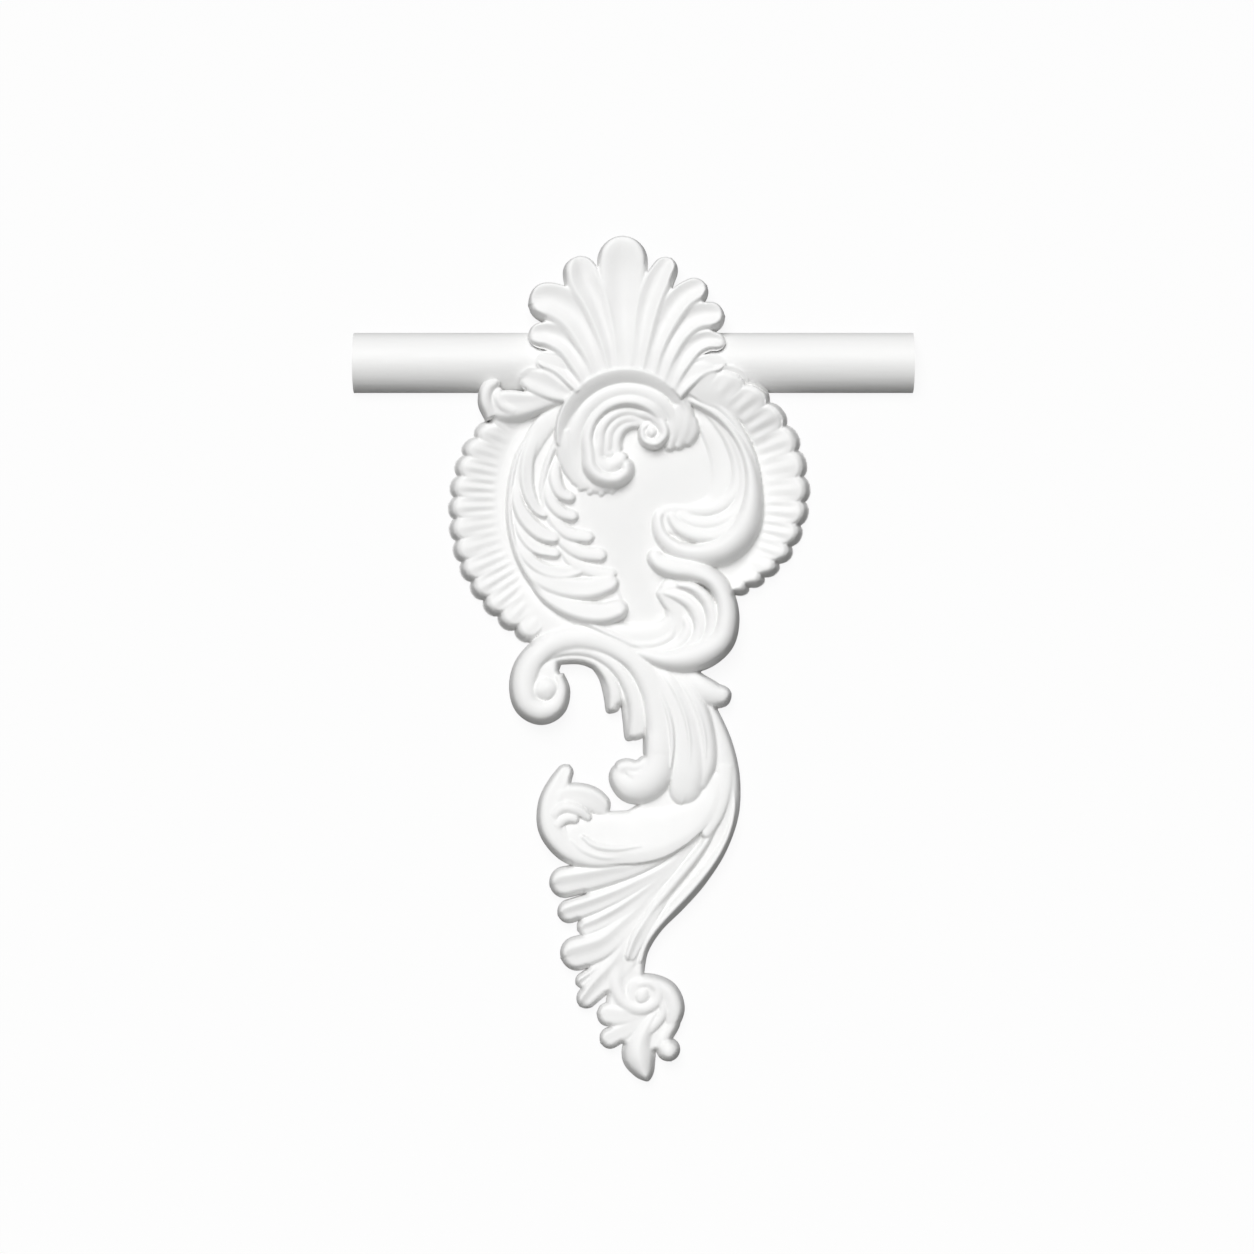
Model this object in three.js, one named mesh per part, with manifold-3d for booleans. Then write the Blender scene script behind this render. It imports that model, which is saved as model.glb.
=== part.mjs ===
// A carved scroll applique, cast in one piece, on a length of half-round wall moulding.
// It hangs on a wall: the wall is the plane y = 0, the ornament faces -Y, and +Z is up.
// The origin is the centre of the fan disc, on the flat back.

import * as THREE from 'three';
import { mergeVertices } from 'three/addons/utils/BufferGeometryUtils.js';
import Module from 'manifold-3d';

const wasm = await Module();
wasm.setup();

// Driving sizes, in millimetres
const ORNAMENT_HEIGHT = 562;
const ORNAMENT_DEPTH = 29;
const MOULDING_WIDTH = 40;
const MOULDING_DEPTH = 20;
const MOULDING_LENGTH = 372.5;
const MOULDING_RISE = 91.3;        // centre line of the moulding above the origin
const MOULDING_SHIFT = 2.25;       // middle of its length to the right of the origin
const CHANNEL_CLEARANCE = 0.5;     // between the moulding and the channel it lies in
const CHANNEL_COVER = 2.8;         // least material over the channel
const SADDLE_REACH = 30;           // covered length of the moulding to each side, under the shell
const ROUND_SEGMENTS = 24;         // facets of the half-round and of its channel

// The carving below is drawn for an ornament of this height and depth, and scaled from it
const DRAWN_HEIGHT = 562;
const DRAWN_DEPTH = 29;
const SCALE = ORNAMENT_HEIGHT / DRAWN_HEIGHT;
const DEPTH_SCALE = ORNAMENT_DEPTH / DRAWN_DEPTH;

// Fan disc, as drawn
const PLATE_RADIUS = 93;
const PLATE_EDGE = 9;
const PLATE_DOME = 2;
const FAN_INNER = 76;
const RING_RADIUS = 86;            // smooth ring inside the flutes
const RIM_HEIGHT = 14.5;
const FLUTE_HEIGHT = 0.5;
const NOTCH_DEPTH = 3.6;
const SKIRT = 4.4;                 // slope outside the rim

// How finely a stroke is faceted
const STATION_LENGTH = 20;
const STATION_TURN = 0.5;          // radians
const MOST_TRIANGLES = 9500;       // in the ornament, before its channel is cut
const BACK = 3;                    // strokes start this far behind the wall plane and are cut there

// Helpers

function along(values, x) {
  // Smooth curve through evenly spaced values that never overshoots them
  if (!Array.isArray(values)) return values;
  const last = values.length - 1;
  const i = Math.min(Math.floor(x * last), last - 1);
  const t = x * last - i;
  const slope = (k) => {
    if (k === 0) return values[1] - values[0];
    if (k === last) return values[last] - values[last - 1];
    return (values[k + 1] - values[k - 1]) / 2;
  };
  const rise = values[i + 1] - values[i];
  const limit = (m) => (rise === 0 ? 0 : THREE.MathUtils.clamp(m / rise, 0, 3) * rise);
  const bend = limit(slope(i)) * (t ** 3 - 2 * t ** 2 + t) + limit(slope(i + 1)) * (t ** 3 - t ** 2);
  return values[i] + rise * (3 * t ** 2 - 2 * t ** 3) + bend;
}

function arc(u, v, radius, from, to, count) {
  // Points on a circle, angles in degrees
  return Array.from({ length: count }, (_, i) => {
    const angle = THREE.MathUtils.degToRad(from + ((to - from) * i) / (count - 1));
    return [u + radius * Math.cos(angle), v + radius * Math.sin(angle)];
  });
}

function coverHeight(z) {
  // Front of the material that covers the channel, at world height z
  const half = MOULDING_WIDTH / 2 + CHANNEL_CLEARANCE + CHANNEL_COVER;
  const deep = MOULDING_DEPTH + CHANNEL_CLEARANCE + CHANNEL_COVER;
  const share = (z - MOULDING_RISE) / half;
  return Math.abs(share) < 1 ? deep * Math.sqrt(1 - share * share) : 0;
}

function place(u, v, height) {
  // A drawn point on the relief's front, as a world position
  const z = v * SCALE;
  return [u * SCALE, -Math.max(height * DEPTH_SCALE, coverHeight(z)), z];
}

function behind(u, v) {
  return [u * SCALE, BACK, v * SCALE];
}

function closedMesh(positions, faces) {
  const geometry = new THREE.BufferGeometry();
  geometry.setAttribute('position', new THREE.Float32BufferAttribute(positions.flat(), 3));
  geometry.setIndex(faces.flat());
  return geometry;
}

function toSolid(geometry) {
  const bare = geometry.clone();
  bare.deleteAttribute('normal');
  bare.deleteAttribute('uv');
  const merged = mergeVertices(bare.index ? bare : mergeVertices(bare));
  return new wasm.Manifold(new wasm.Mesh({
    numProp: 3,
    vertProperties: new Float32Array(merged.attributes.position.array),
    triVerts: new Uint32Array(merged.index.array),
  }));
}

function toGeometry(solid) {
  const mesh = solid.getMesh();
  const geometry = new THREE.BufferGeometry();
  geometry.setAttribute('position', new THREE.BufferAttribute(mesh.vertProperties, 3));
  geometry.setIndex(new THREE.BufferAttribute(mesh.triVerts, 1));
  geometry.computeVertexNormals();
  return geometry;
}

function join(solids) {
  // Neighbours first, so that each join stays small
  let parts = solids;
  while (parts.length > 1) {
    const next = [];
    for (let i = 0; i < parts.length; i += 2) {
      next.push(i + 1 < parts.length ? parts[i].add(parts[i + 1]) : parts[i]);
    }
    parts = next;
  }
  return parts[0];
}

function loft(rings) {
  // A closed body through rings of equal length, with flat ends
  const size = rings[0].length;
  const faces = [];
  for (let i = 0; i + 1 < rings.length; i += 1) {
    for (let k = 0; k < size; k += 1) {
      const a = i * size + k;
      const b = i * size + ((k + 1) % size);
      faces.push([a, b, b + size], [a, b + size, a + size]);
    }
  }
  const end = (rings.length - 1) * size;
  for (let k = 1; k + 1 < size; k += 1) {
    faces.push([0, k + 1, k], [end, end + k, end + k + 1]);
  }
  return closedMesh(rings.flat(), faces);
}

// Joining the strokes leaves many slivers. This takes out the points whose loss moves the surface least,
// by the summed squared distance to the planes around them, and keeps the body closed.

function thinOut(geometry, mostTriangles) {
  const source = geometry.attributes.position;
  const points = Array.from({ length: source.count },
    (_, i) => new THREE.Vector3().fromBufferAttribute(source, i));
  const faces = [];
  const touching = points.map(() => new Set());
  for (let i = 0; i < geometry.index.count; i += 3) {
    const face = [0, 1, 2].map((k) => geometry.index.getX(i + k));
    face.forEach((p) => touching[p].add(faces.length));
    faces.push(face);
  }
  const areaNormal = ([a, b,
    c]) => points[b].clone().sub(points[a]).cross(points[c].clone().sub(points[a]));

  // A quadric holds the sums of area * (n n, n d, d d) over the planes at a point
  const quadrics = points.map(() => new Float64Array(10));
  for (const face of faces) {
    const normal = areaNormal(face);
    const area = normal.length();
    if (area === 0) continue;
    const { x, y, z } = normal.divideScalar(area);
    const d = -normal.dot(points[face[0]]);
    const terms = [x * x, x * y, x * z, x * d, y * y, y * z, y * d, z * z, z * d, d * d];
    for (const p of face) terms.forEach((term, k) => { quadrics[p][k] += area * term; });
  }
  const cost = (from, to) => {
    const q = quadrics[from].map((term, k) => term + quadrics[to][k]);
    const { x, y, z } = points[to];
    return q[0] * x * x + 2 * q[1] * x * y + 2 * q[2] * x * z + 2 * q[3] * x + q[4] * y * y
      + 2 * q[5] * y * z + 2 * q[6] * y + q[7] * z * z + 2 * q[8] * z + q[9]
      + 1e-4 * points[from].distanceToSquared(points[to]);
  };
  const neighbours = (p) => {
    const found = new Set();
    for (const f of touching[p]) faces[f].forEach((other) => found.add(other));
    found.delete(p);
    return found;
  };
  const mayGo = (from, to) => {
    if (Math.abs(points[from].y) < 1e-6 && Math.abs(points[to].y) > 1e-6) return false;
    const here = neighbours(from);
    if (!here.has(to) || [...neighbours(to)].filter((p) => here.has(p)).length !== 2) return false;
    for (const f of touching[from]) {
      if (faces[f].includes(to)) continue;
      const before = areaNormal(faces[f]);
      const after = areaNormal(faces[f].map((p) => (p === from ? to : p)));
      const sizes = before.length() * after.length();
      if (after.length() < 1e-3 || before.dot(after) < 0.3 * sizes) return false;
    }
    return true;
  };

  // The cheapest moves first; a move is tried again when its surroundings have changed
  let queue = [];
  const age = new Uint32Array(points.length);
  const push = (from) => {
    for (const to of neighbours(from)) queue.push({ price: cost(from, to), from, to,
      stamp: age[from] + age[to] });
  };
  points.forEach((_, p) => push(p));
  let left = faces.length;
  while (left > mostTriangles && queue.length > 0) {
    queue.sort((a, b) => b.price - a.price);
    const batch = queue.splice(-Math.max(60, Math.floor(queue.length / 40)));
    const touched = new Set();
    while (batch.length > 0 && left > mostTriangles) {
      const { from, to, stamp } = batch.pop();
      if (stamp !== age[from] + age[to] || touching[from].size === 0 || touching[to].size === 0) continue;
      if (!mayGo(from, to)) continue;
      const around = neighbours(from);
      for (const f of [...touching[from]]) {
        if (faces[f].includes(to)) {
          faces[f].forEach((p) => touching[p].delete(f));
          faces[f] = null;
          left -= 1;
        } else {
          faces[f] = faces[f].map((p) => (p === from ? to : p));
          touching[to].add(f);
        }
      }
      touching[from].clear();
      quadrics[to].forEach((_, k) => { quadrics[to][k] += quadrics[from][k]; });
      around.delete(to);
      for (const p of [to, ...around]) {
        age[p] += 1;
        touched.add(p);
      }
    }
    queue = queue.filter(({ from, to, stamp }) => stamp === age[from] + age[to]);
    touched.forEach((p) => push(p));
    for (const p of touched) {
      for (const other of neighbours(p)) {
        if (!touched.has(other)) queue.push({ price: cost(other, p), from: other, to: p,
          stamp: age[other] + age[p] });
      }
    }
  }
  return mergeVertices(closedMesh(points.map((p) => p.toArray()),
    faces.filter((face) => face !== null)));
}

// A stroke is one leaf lobe, roll or ridge. Its spine is a list of drawn points, and half-width,
// crown height and the heights of its two edges change evenly along it.

function lobe(spine, halfWidth, crown, shape = {}) {
  const {
    edge = 4, edgeRight = edge, power = 2, lean = 0, root = 0, blunt = 0.5,
    scoop = 0, scoopAt = 0, scoopWidth = 0.8, thin = false,
  } = shape;
  const widths = [].concat(halfWidth);
  const tip = shape.tip ?? widths[widths.length - 1];
  const curve = new THREE.CatmullRomCurve3(spine.map(([u, v]) => new THREE.Vector3(u, v, 0)), false,
    'centripetal');
  const length = curve.getLength();

  const bendAt = (x) => {
    const reach = Math.min(0.02, 3 / length);
    const before = curve.getTangentAt(Math.max(0, x - reach));
    const after = curve.getTangentAt(Math.min(1, x + reach));
    const turn = Math.atan2(before.x * after.y - before.y * after.x, before.dot(after));
    return turn / ((Math.min(1, x + reach) - Math.max(0, x - reach)) * length);
  };

  // Stations: closer together where the spine turns, and three more that round the tip
  const stations = [0];
  let walked = 0;
  const fine = 60;
  const body = Math.max(0, 1 - tip / length);
  for (let i = 1; i <= fine; i += 1) {
    const x = (body * i) / fine;
    walked += (body / fine) * length * (1 / STATION_LENGTH + Math.abs(bendAt(x)) / STATION_TURN);
    if (walked >= 1 && x < body - 0.02) {
      stations.push(x);
      walked = 0;
    }
  }
  if (body > 0) stations.push(body);
  if (tip > 0) stations.push(...[0.45, 0.12,
    0.012].map((share) => 1 - (share * tip) / length).filter((x) => x > 0));

  const round = (share) => Math.sqrt(1 - (1 - THREE.MathUtils.clamp(share, 0, 1)) ** 2);
  const across = thin ? [1, lean, -1] : [1, 0.68, scoop ? scoopAt : lean * 0.6, -0.68, -1];
  const rings = stations.map((x) => {
    const point = curve.getPointAt(x);
    const ahead = curve.getTangentAt(x);
    let end = tip > 0 ? round(((1 - x) * length) / tip) : 1;
    if (root > 0) end *= Math.max(round((x * length) / root), 0.2);
    const width = along(widths.length > 1 ? widths : widths[0], x) * end;
    const bend = bendAt(x);
    // On the inside of a bend a stroke stops short of the bend's centre
    const offset = (a) => a * (a * bend > 0 ? Math.min(width, 0.8 / Math.abs(bend)) : width);
    const height = (a) => {
      const side = along(a > lean ? edge : edgeRight, x);
      const share = a > lean ? (a - lean) / (1 - lean) : (lean - a) / (1 + lean);
      const full = Math.max(0, 1 - share ** power) ** (power >= 1.6 ? 1 / power : 1);
      const hollow = Math.max(0, 1 - ((a - scoopAt) / scoopWidth) ** 2) ** 1.5;
      return side + (along(crown, x) - side) * full * end ** blunt - along(scoop, x) * hollow * end;
    };
    const at = (a) => [point.x - ahead.y * offset(a), point.y + ahead.x * offset(a)];
    const top = across.map((a) => place(...at(a), height(a)));
    return [behind(...at(1)), ...top, behind(...at(-1))];
  });
  return toSolid(loft(rings));
}

function bed(outline, height) {
  // A level field inside a smooth closed outline, under a group of lobes
  const points = outline.map(([u, v]) => new THREE.Vector3(u * SCALE, v * SCALE, 0));
  const curve = new THREE.CatmullRomCurve3(points, true, 'catmullrom', 0.5);
  const flat = curve.getPoints(outline.length * 2).slice(0, -1).map((p) => new THREE.Vector2(p.x, p.y));
  const depth = height * DEPTH_SCALE + BACK;
  const prism = new THREE.ExtrudeGeometry(new THREE.Shape(flat), { depth, bevelEnabled: false });
  prism.rotateX(Math.PI / 2);
  prism.translate(0, BACK, 0);
  return toSolid(prism);
}

// The fan disc: a low domed plate and two scalloped sectors whose rims stand forward of it

function plate() {
  const dome = [0, 0.6, 1].map((share) => new THREE.Vector2(
    share * PLATE_RADIUS * SCALE, -(PLATE_EDGE + PLATE_DOME * (1 - share * share)) * DEPTH_SCALE,
  ));
  const back = [new THREE.Vector2(PLATE_RADIUS * SCALE, BACK), new THREE.Vector2(0, BACK)];
  return toSolid(new THREE.LatheGeometry([...dome, ...back], 36));
}

function fan(notches, outline) {
  // Each scallop has four stations, so two flutes; the outline is a list of [angle, radius]
  const radiusAt = (angle) => {
    const i = outline.findIndex(([a]) => a >= angle);
    const [[a0, r0], [a1, r1]] = [outline[Math.max(i - 1, 0)], outline[i]];
    return a1 === a0 ? r1 : r0 + ((r1 - r0) * (angle - a0)) / (a1 - a0);
  };
  const rings = [];
  for (let i = 0; i + 1 < notches.length; i += 1) {
    for (let quarter = 0; quarter < (i + 2 < notches.length ? 4 : 5); quarter += 1) {
      const angle = notches[i] + ((notches[i + 1] - notches[i]) * quarter) / 4;
      const phase = Math.abs(quarter / 2 - 1);
      const foot = radiusAt(angle) - NOTCH_DEPTH * phase ** 2.6;
      const rim = foot - SKIRT;
      const flute = quarter % 2 === 0 ? FLUTE_HEIGHT : -FLUTE_HEIGHT;
      const sag = 1.4 * phase ** 2.5;
      const profile = [
        [FAN_INNER, 7], [RING_RADIUS, 9.1], [RING_RADIUS + 9, 10.2 + flute],
        [rim - 7, RIM_HEIGHT - 0.8 - sag + 0.4 * flute], [rim - 1.5, RIM_HEIGHT - 1.0 - sag], [rim, 12],
        [foot, 1.5],
      ];
      const radial = THREE.MathUtils.degToRad(angle);
      const at = (radius) => [radius * Math.cos(radial), radius * Math.sin(radial)];
      const top = profile.map(([radius, height]) => place(...at(radius), height));
      rings.push([behind(...at(FAN_INNER)), ...top, behind(...at(foot))]);
    }
  }
  return toSolid(loft(rings));
}

function fanDisc() {
  const leftNotches = Array.from({ length: 13 }, (_, k) => 151 + 7.04 * k);
  const leftOutline = [[150, 111], [163, 118], [178, 121], [190, 122.5], [200, 123.5], [212, 122.5],
    [225, 120.5], [239, 117.5]];
  // On the right the scallops close up toward the bottom
  const rightNotches = Array.from({ length: 14 },
    (_, i) => 12 - i).map((k) => 55 - 10.45 * k + 0.195 * k * k);
  const rightOutline = [[-44, 96], [-30, 107], [-20, 114], [-10, 118], [0, 120.5], [20, 120.5],
    [38, 116.5], [50, 112], [67, 107]];
  return [plate(), fan(leftNotches, leftOutline), fan(rightNotches, rightOutline)];
}

// The shell: hollowed leaves that spread over the moulding. Rows are spine, half-widths, height at the tip.

function shell() {
  const left = [
    [[[-27, 66], [-37, 78], [-47, 88], [-62, 93]], [4, 6, 7.5, 6], 24],
    [[[-25, 71], [-33, 88], [-42, 101.5], [-54, 108], [-67.5, 108]], [4.6, 7, 9, 9.6, 8], 25.5],
    [[[-18, 76], [-27, 101], [-38, 121], [-52, 130], [-67.5, 129]], [5, 7.8, 11.8, 14, 12.4], 24],
    [[[-10.5, 80], [-15, 103], [-24, 130], [-32, 146], [-33.5, 161.5]], [4.5, 6.8, 9.4, 12, 11.8], 21],
  ];
  const right = [
    [[[29, 66], [38, 78], [48, 87], [63, 90]], [3.5, 6, 7.5, 6], 24],
    [[[26, 72], [34, 89], [42, 100], [51, 104.5], [63, 103]], [4, 6, 7.6, 7.4, 5.4], 24.5],
    [[[20, 77], [25, 94], [33, 110], [44, 119.5], [63, 121.5]], [4.5, 6.4, 8.6, 10.2, 10], 24],
    [[[13.5, 80], [17.5, 99], [24.5, 117], [35.5, 133], [51, 142]], [4.6, 6.4, 8.8, 10, 8.8], 23],
    [[[5, 81], [8, 102], [12.5, 126], [19, 144], [27.5, 160]], [5, 6.8, 9, 10, 7.6], 21],
  ];
  const lowEdge = [24, 22.5, 20, 17, 13];
  const highEdge = [24, 24, 23.5, 21.5, 17];
  const leaf = ([spine, widths, tipHeight], lowIsLeft) => lobe(
    spine, widths, [26, 28, 28.4, 26.5, tipHeight],
    {
      edge: lowIsLeft ? lowEdge : highEdge,
      edgeRight: lowIsLeft ? highEdge : lowEdge,
      power: 3,
      scoop: [0.6, 2.6, 3.8, 4, 3.4],
      scoopAt: lowIsLeft ? -0.15 : 0.15,
      scoopWidth: 0.95,
      blunt: 0.35,
    },
  );
  return [
    bed([
      [-31, 66], [-38, 80], [-52, 98], [-52, 112], [-38, 128], [-20, 137], [-5, 140], [12, 138],
      [28, 130], [42, 114], [48, 98], [36, 80], [30, 66], [14, 76], [-2, 79], [-18, 75],
    ], 19),
    bed([
      [-27, 64], [-33, 80], [-38, 98], [-30, 112], [-16, 119], [-3, 121], [10, 119], [22, 112],
      [32, 98], [32, 80], [27, 64], [14, 74], [-2, 77], [-16, 73],
    ], 23.6),
    ...left.map((row) => leaf(row, true)),
    ...right.map((row) => leaf(row, false)),
    lobe(
      [[-3, 80], [-4, 104], [-5.5, 134], [-5, 155], [-5, 175.5]],
      [5, 8.2, 12.8, 16.8, 16.8],
      [26.5, 28.4, 28.6, 26, 20],
      {
        edge: [24, 23.5, 20.5, 17, 13],
        power: 3,
        scoop: [0.5, 2, 3.4, 3.6, 2.8],
        scoopWidth: 0.92,
        blunt: 0.35,
      },
    ),
    lobe(
      [[-36, 67], [-48, 70.5], [-60, 76], [-73, 80.5]],
      [3, 6, 8, 6.5],
      [23, 24.5, 24, 21],
      {
        edge: [20, 18, 15, 12],
        edgeRight: [22, 22, 20.5, 18],
        power: 2.6,
        scoop: [0.4, 2, 2.6, 2.4],
        scoopWidth: 0.9,
      },
    ),
  ];
}

function armCurl() {
  return [
    lobe(
      [[-38, 67], [-55, 64.5], [-72, 62], [-86, 61.5], [-95, 63]],
      [2, 5, 8.6, 11, 9],
      [20, 21, 22, 21.5, 19],
      {
        edge: [12, 9, 8, 7, 6],
        edgeRight: [18, 17, 17, 17, 15],
        power: 2.4,
        lean: -0.3,
        scoop: [0, 0.5, 1.6, 2, 1.6],
        scoopAt: -0.1,
        scoopWidth: 0.7,
      },
    ),
    lobe(
      [[-90, 55], [-95, 65], [-93, 74], [-86.5, 78]],
      [7, 6.4, 5.6, 3.4],
      [18, 21, 22, 21],
      { edge: [14, 15, 17], edgeRight: [7, 8, 14], power: 2, lean: 0.1, tip: 4 },
    ),
  ];
}

// The scroll at the top of the disc: rolls inside a coved rim, with a small volute at its right end

function innerScroll() {
  const [u, v] = [-1.5, 38];
  const tongues = [[-38.5, 10], [-34, 5.5], [-27.5, 2.8], [-19.5, 1.8], [-12, 3.6]];
  const ruffles = [[25.5, 32], [31, 33], [36.5, 35.5]];
  return [
    lobe(arc(u - 1, v - 0.5, 37, 22, 232, 10), [9, 12, 12.5, 12, 10, 6], [15, 19, 19.5, 19, 17, 14],
      { edge: 12, power: 2.6, tip: 4, thin: true }),
    lobe(arc(u + 0.5, v, 19.5, 60, 235, 8), [4, 5, 6.5, 7.5, 7, 4], [14.5, 15, 15, 15, 15, 13],
      { edge: 12, power: 2.6, tip: 3, thin: true }),
    lobe([[-42, 46], [-41, 30], [-35, 18], [-25, 10], [-13, 9], [-4, 12]], [5, 6.5, 7.5, 6.5, 5, 2],
      [19, 18, 15.5, 14.5, 14.5, 13], { edge: 9, power: 2.2 }),
    ...tongues.map(([tipU, tipV]) => lobe([[0.72 * tipU - 3, tipV + 13], [tipU, tipV]], [3.4, 2.8],
      [15, 13.2],
      { edge: [10, 8], tip: 2.5, thin: true })),
    ...ruffles.map(([tipU, tipV]) => lobe([[33, 62], [tipU + 4, 46], [tipU, tipV]], [4, 5, 3],
      [20, 18, 14],
      { edge: [16, 10, 7], tip: 3, thin: true })),
    lobe([[34, 66], [37.5, 56], [37, 45], [35.5, 36]], [4, 4, 4, 3], [20, 20, 18, 14],
      { edge: [14, 9, 7], thin: true }),
    // Rolls, from the outermost in
    lobe(arc(u, v, 34.2, 12, 214, 10), [3, 4.4, 4.8, 5, 4.5, 3.5], [18, 22.5, 23, 21.5, 19, 14],
      { edge: [17, 20.5, 20.5, 18.5, 16.5, 12], lean: -0.1, thin: true }),
    lobe([...arc(u, v, 26.8, 28, 196, 8), [-26, 21], [-20, 14.5], [-10, 12.8], [-2.5, 18], [-3, 27]],
      [4, 4.6, 4.6, 4.4, 4.2, 4.6, 5.4, 6.2, 5.8, 5.4, 4.4],
        [20, 23.5, 24, 23.5, 22, 21.5, 22, 23, 23.5, 22, 20],
      { edge: [14, 10, 10, 11, 12, 12, 12, 10, 10, 10, 10],
        edgeRight: [18, 20.5, 20.5, 19.5, 18, 15, 12, 9, 8, 8, 10], lean: 0.1 }),
    lobe([...arc(u + 1, v + 0.5, 20.2, 48, 184, 7), [-21, 27], [-16, 22.5], [-10, 23]],
      [2, 2.3, 2.4, 2.6, 2.8, 2.8, 2.6, 2],
      [16.5, 17.5, 18, 18.5, 19, 19.5, 20, 19], { edge: 14.5, thin: true }),
    lobe([...arc(u + 2, v + 0.5, 15.6, 58, 184, 6), [-15.5, 31], [-10, 28.5]],
      [1.8, 2.3, 2.3, 2.6, 2.8, 2.8],
      [15.5, 17, 17, 17.2, 17.5, 17], { edge: 14, thin: true }),
    lobe([[8, 50], [1, 49.5], [-5.5, 45.5], [-8.5, 38], [-7.5, 31]], [2, 2.4, 2.6, 2.8, 2.4], 15.5,
      { edge: 9, edgeRight: 13, thin: true }),
    // Small volute
    lobe([[3, 57], [12, 56], [20.5, 51], [23, 43], [17, 36.8], [9.6, 39], [8.2, 46], [12, 49.5]],
      [3, 4, 4.6, 4.2, 3.8, 3.4, 2.8, 2], [18, 20, 21, 22, 22, 21.5, 21, 20],
      { edge: [12, 10, 8, 8, 8, 9, 14], edgeRight: [14, 16, 17, 17, 17, 17, 17], lean: 0.15 }),
    lobe([[10.5, 44.5], [17.5, 44]], [4.2, 4.4], [21, 22.3], { edge: 17, root: 4 }),
    // Coved rim
    lobe(arc(u - 1, v - 0.5, 43.6, 30, 184, 10), [3, 5.5, 6.6, 6.6, 6, 3.5],
      [20, 25.5, 27.5, 27, 24, 18],
      { edge: [16, 18.5, 19.5, 19, 17, 14], edgeRight: [12, 18, 22, 20, 14, 10], power: 1.5,
        lean: -0.72 }),
  ];
}

// The crescent on the right of the disc: flutes inside one big roll

function rightScroll() {
  return [
    lobe([[40, 63], [54, 50], [64, 32], [67, 12], [60, -6], [42, -14], [28, -14]],
      [3, 9, 12, 13.5, 13, 12, 8],
      [13.5, 13, 12.8, 12.8, 13, 13.5, 13],
        { edge: [12, 11, 9, 8.5, 8.5, 8.5], edgeRight: [12, 10, 8.5, 8.5, 8.5], power: 2.6,
        thin: true }),
    lobe([[50, 58], [63, 42], [70.5, 24], [70, 8], [61, -3.5], [49, -7.5], [38, -6]],
      [1.6, 2.4, 3.2, 3.8, 4.2, 4.4, 3.5],
      [14, 15, 15.5, 15.5, 15.5, 15.5, 13.5],
        { edge: [12.5, 13, 13, 13, 12.5, 12], lean: 0.2, thin: true }),
    lobe([[53, 57.5], [67.5, 40], [75, 21], [75, 2], [66.5, -10.5], [53, -16], [40, -14.5], [31, -9]],
      [1.4, 2.2, 3, 3.8, 4.6, 4.8, 4.6, 3], [14.5, 16, 17, 17.2, 17.4, 17.4, 16.6, 14],
      { edge: [13, 14, 14, 13.5, 12.5, 12, 12], lean: 0.2, thin: true }),
    lobe([[55, 57], [71, 39], [78.5, 19], [78.5, -1], [71.5, -15], [58.5, -23], [44, -23.5], [32, -18],
      [26, -9]],
      [1.3, 2, 2.6, 3.6, 4.6, 5.4, 5.6, 5, 3], [15, 17, 18.5, 19, 19.4, 20, 19.6, 18, 15],
      { edge: [14, 15, 15, 14.5, 13.5, 13, 12.5, 12], lean: 0.25, thin: true }),
    lobe([[42, 65.5], [58, 56.5], [72.5, 39.5], [80.5, 19], [81.5, -3], [76.5, -20], [64, -33],
      [47, -37.5], [31, -34],
      [20.5, -24], [18.5, -12], [21.5, -7]],
      [1.6, 2.2, 2.6, 3.2, 4.6, 7, 9.6, 10, 8.6, 6.6, 4.6, 3],
        [17.5, 18, 19, 20, 21.5, 23, 23.8, 24, 22.5, 20, 17, 14],
      { edge: [11, 11, 11, 10, 9, 7, 5, 5, 6, 8, 9, 9],
        edgeRight: [15, 15.5, 16, 16, 16, 15.5, 15, 14, 13, 12, 11, 11],
        power: 2.1, lean: -0.28 }),
    lobe([[42, 68.5], [60, 60], [75.5, 41], [84, 18], [85.5, -4], [82, -22], [74, -35]],
      [2, 2.2, 2.2, 2, 1.6],
      [15.5, 14.5, 14, 13.5, 12], { edge: 9.5, thin: true }),
  ];
}

// The S-scroll below it

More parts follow.
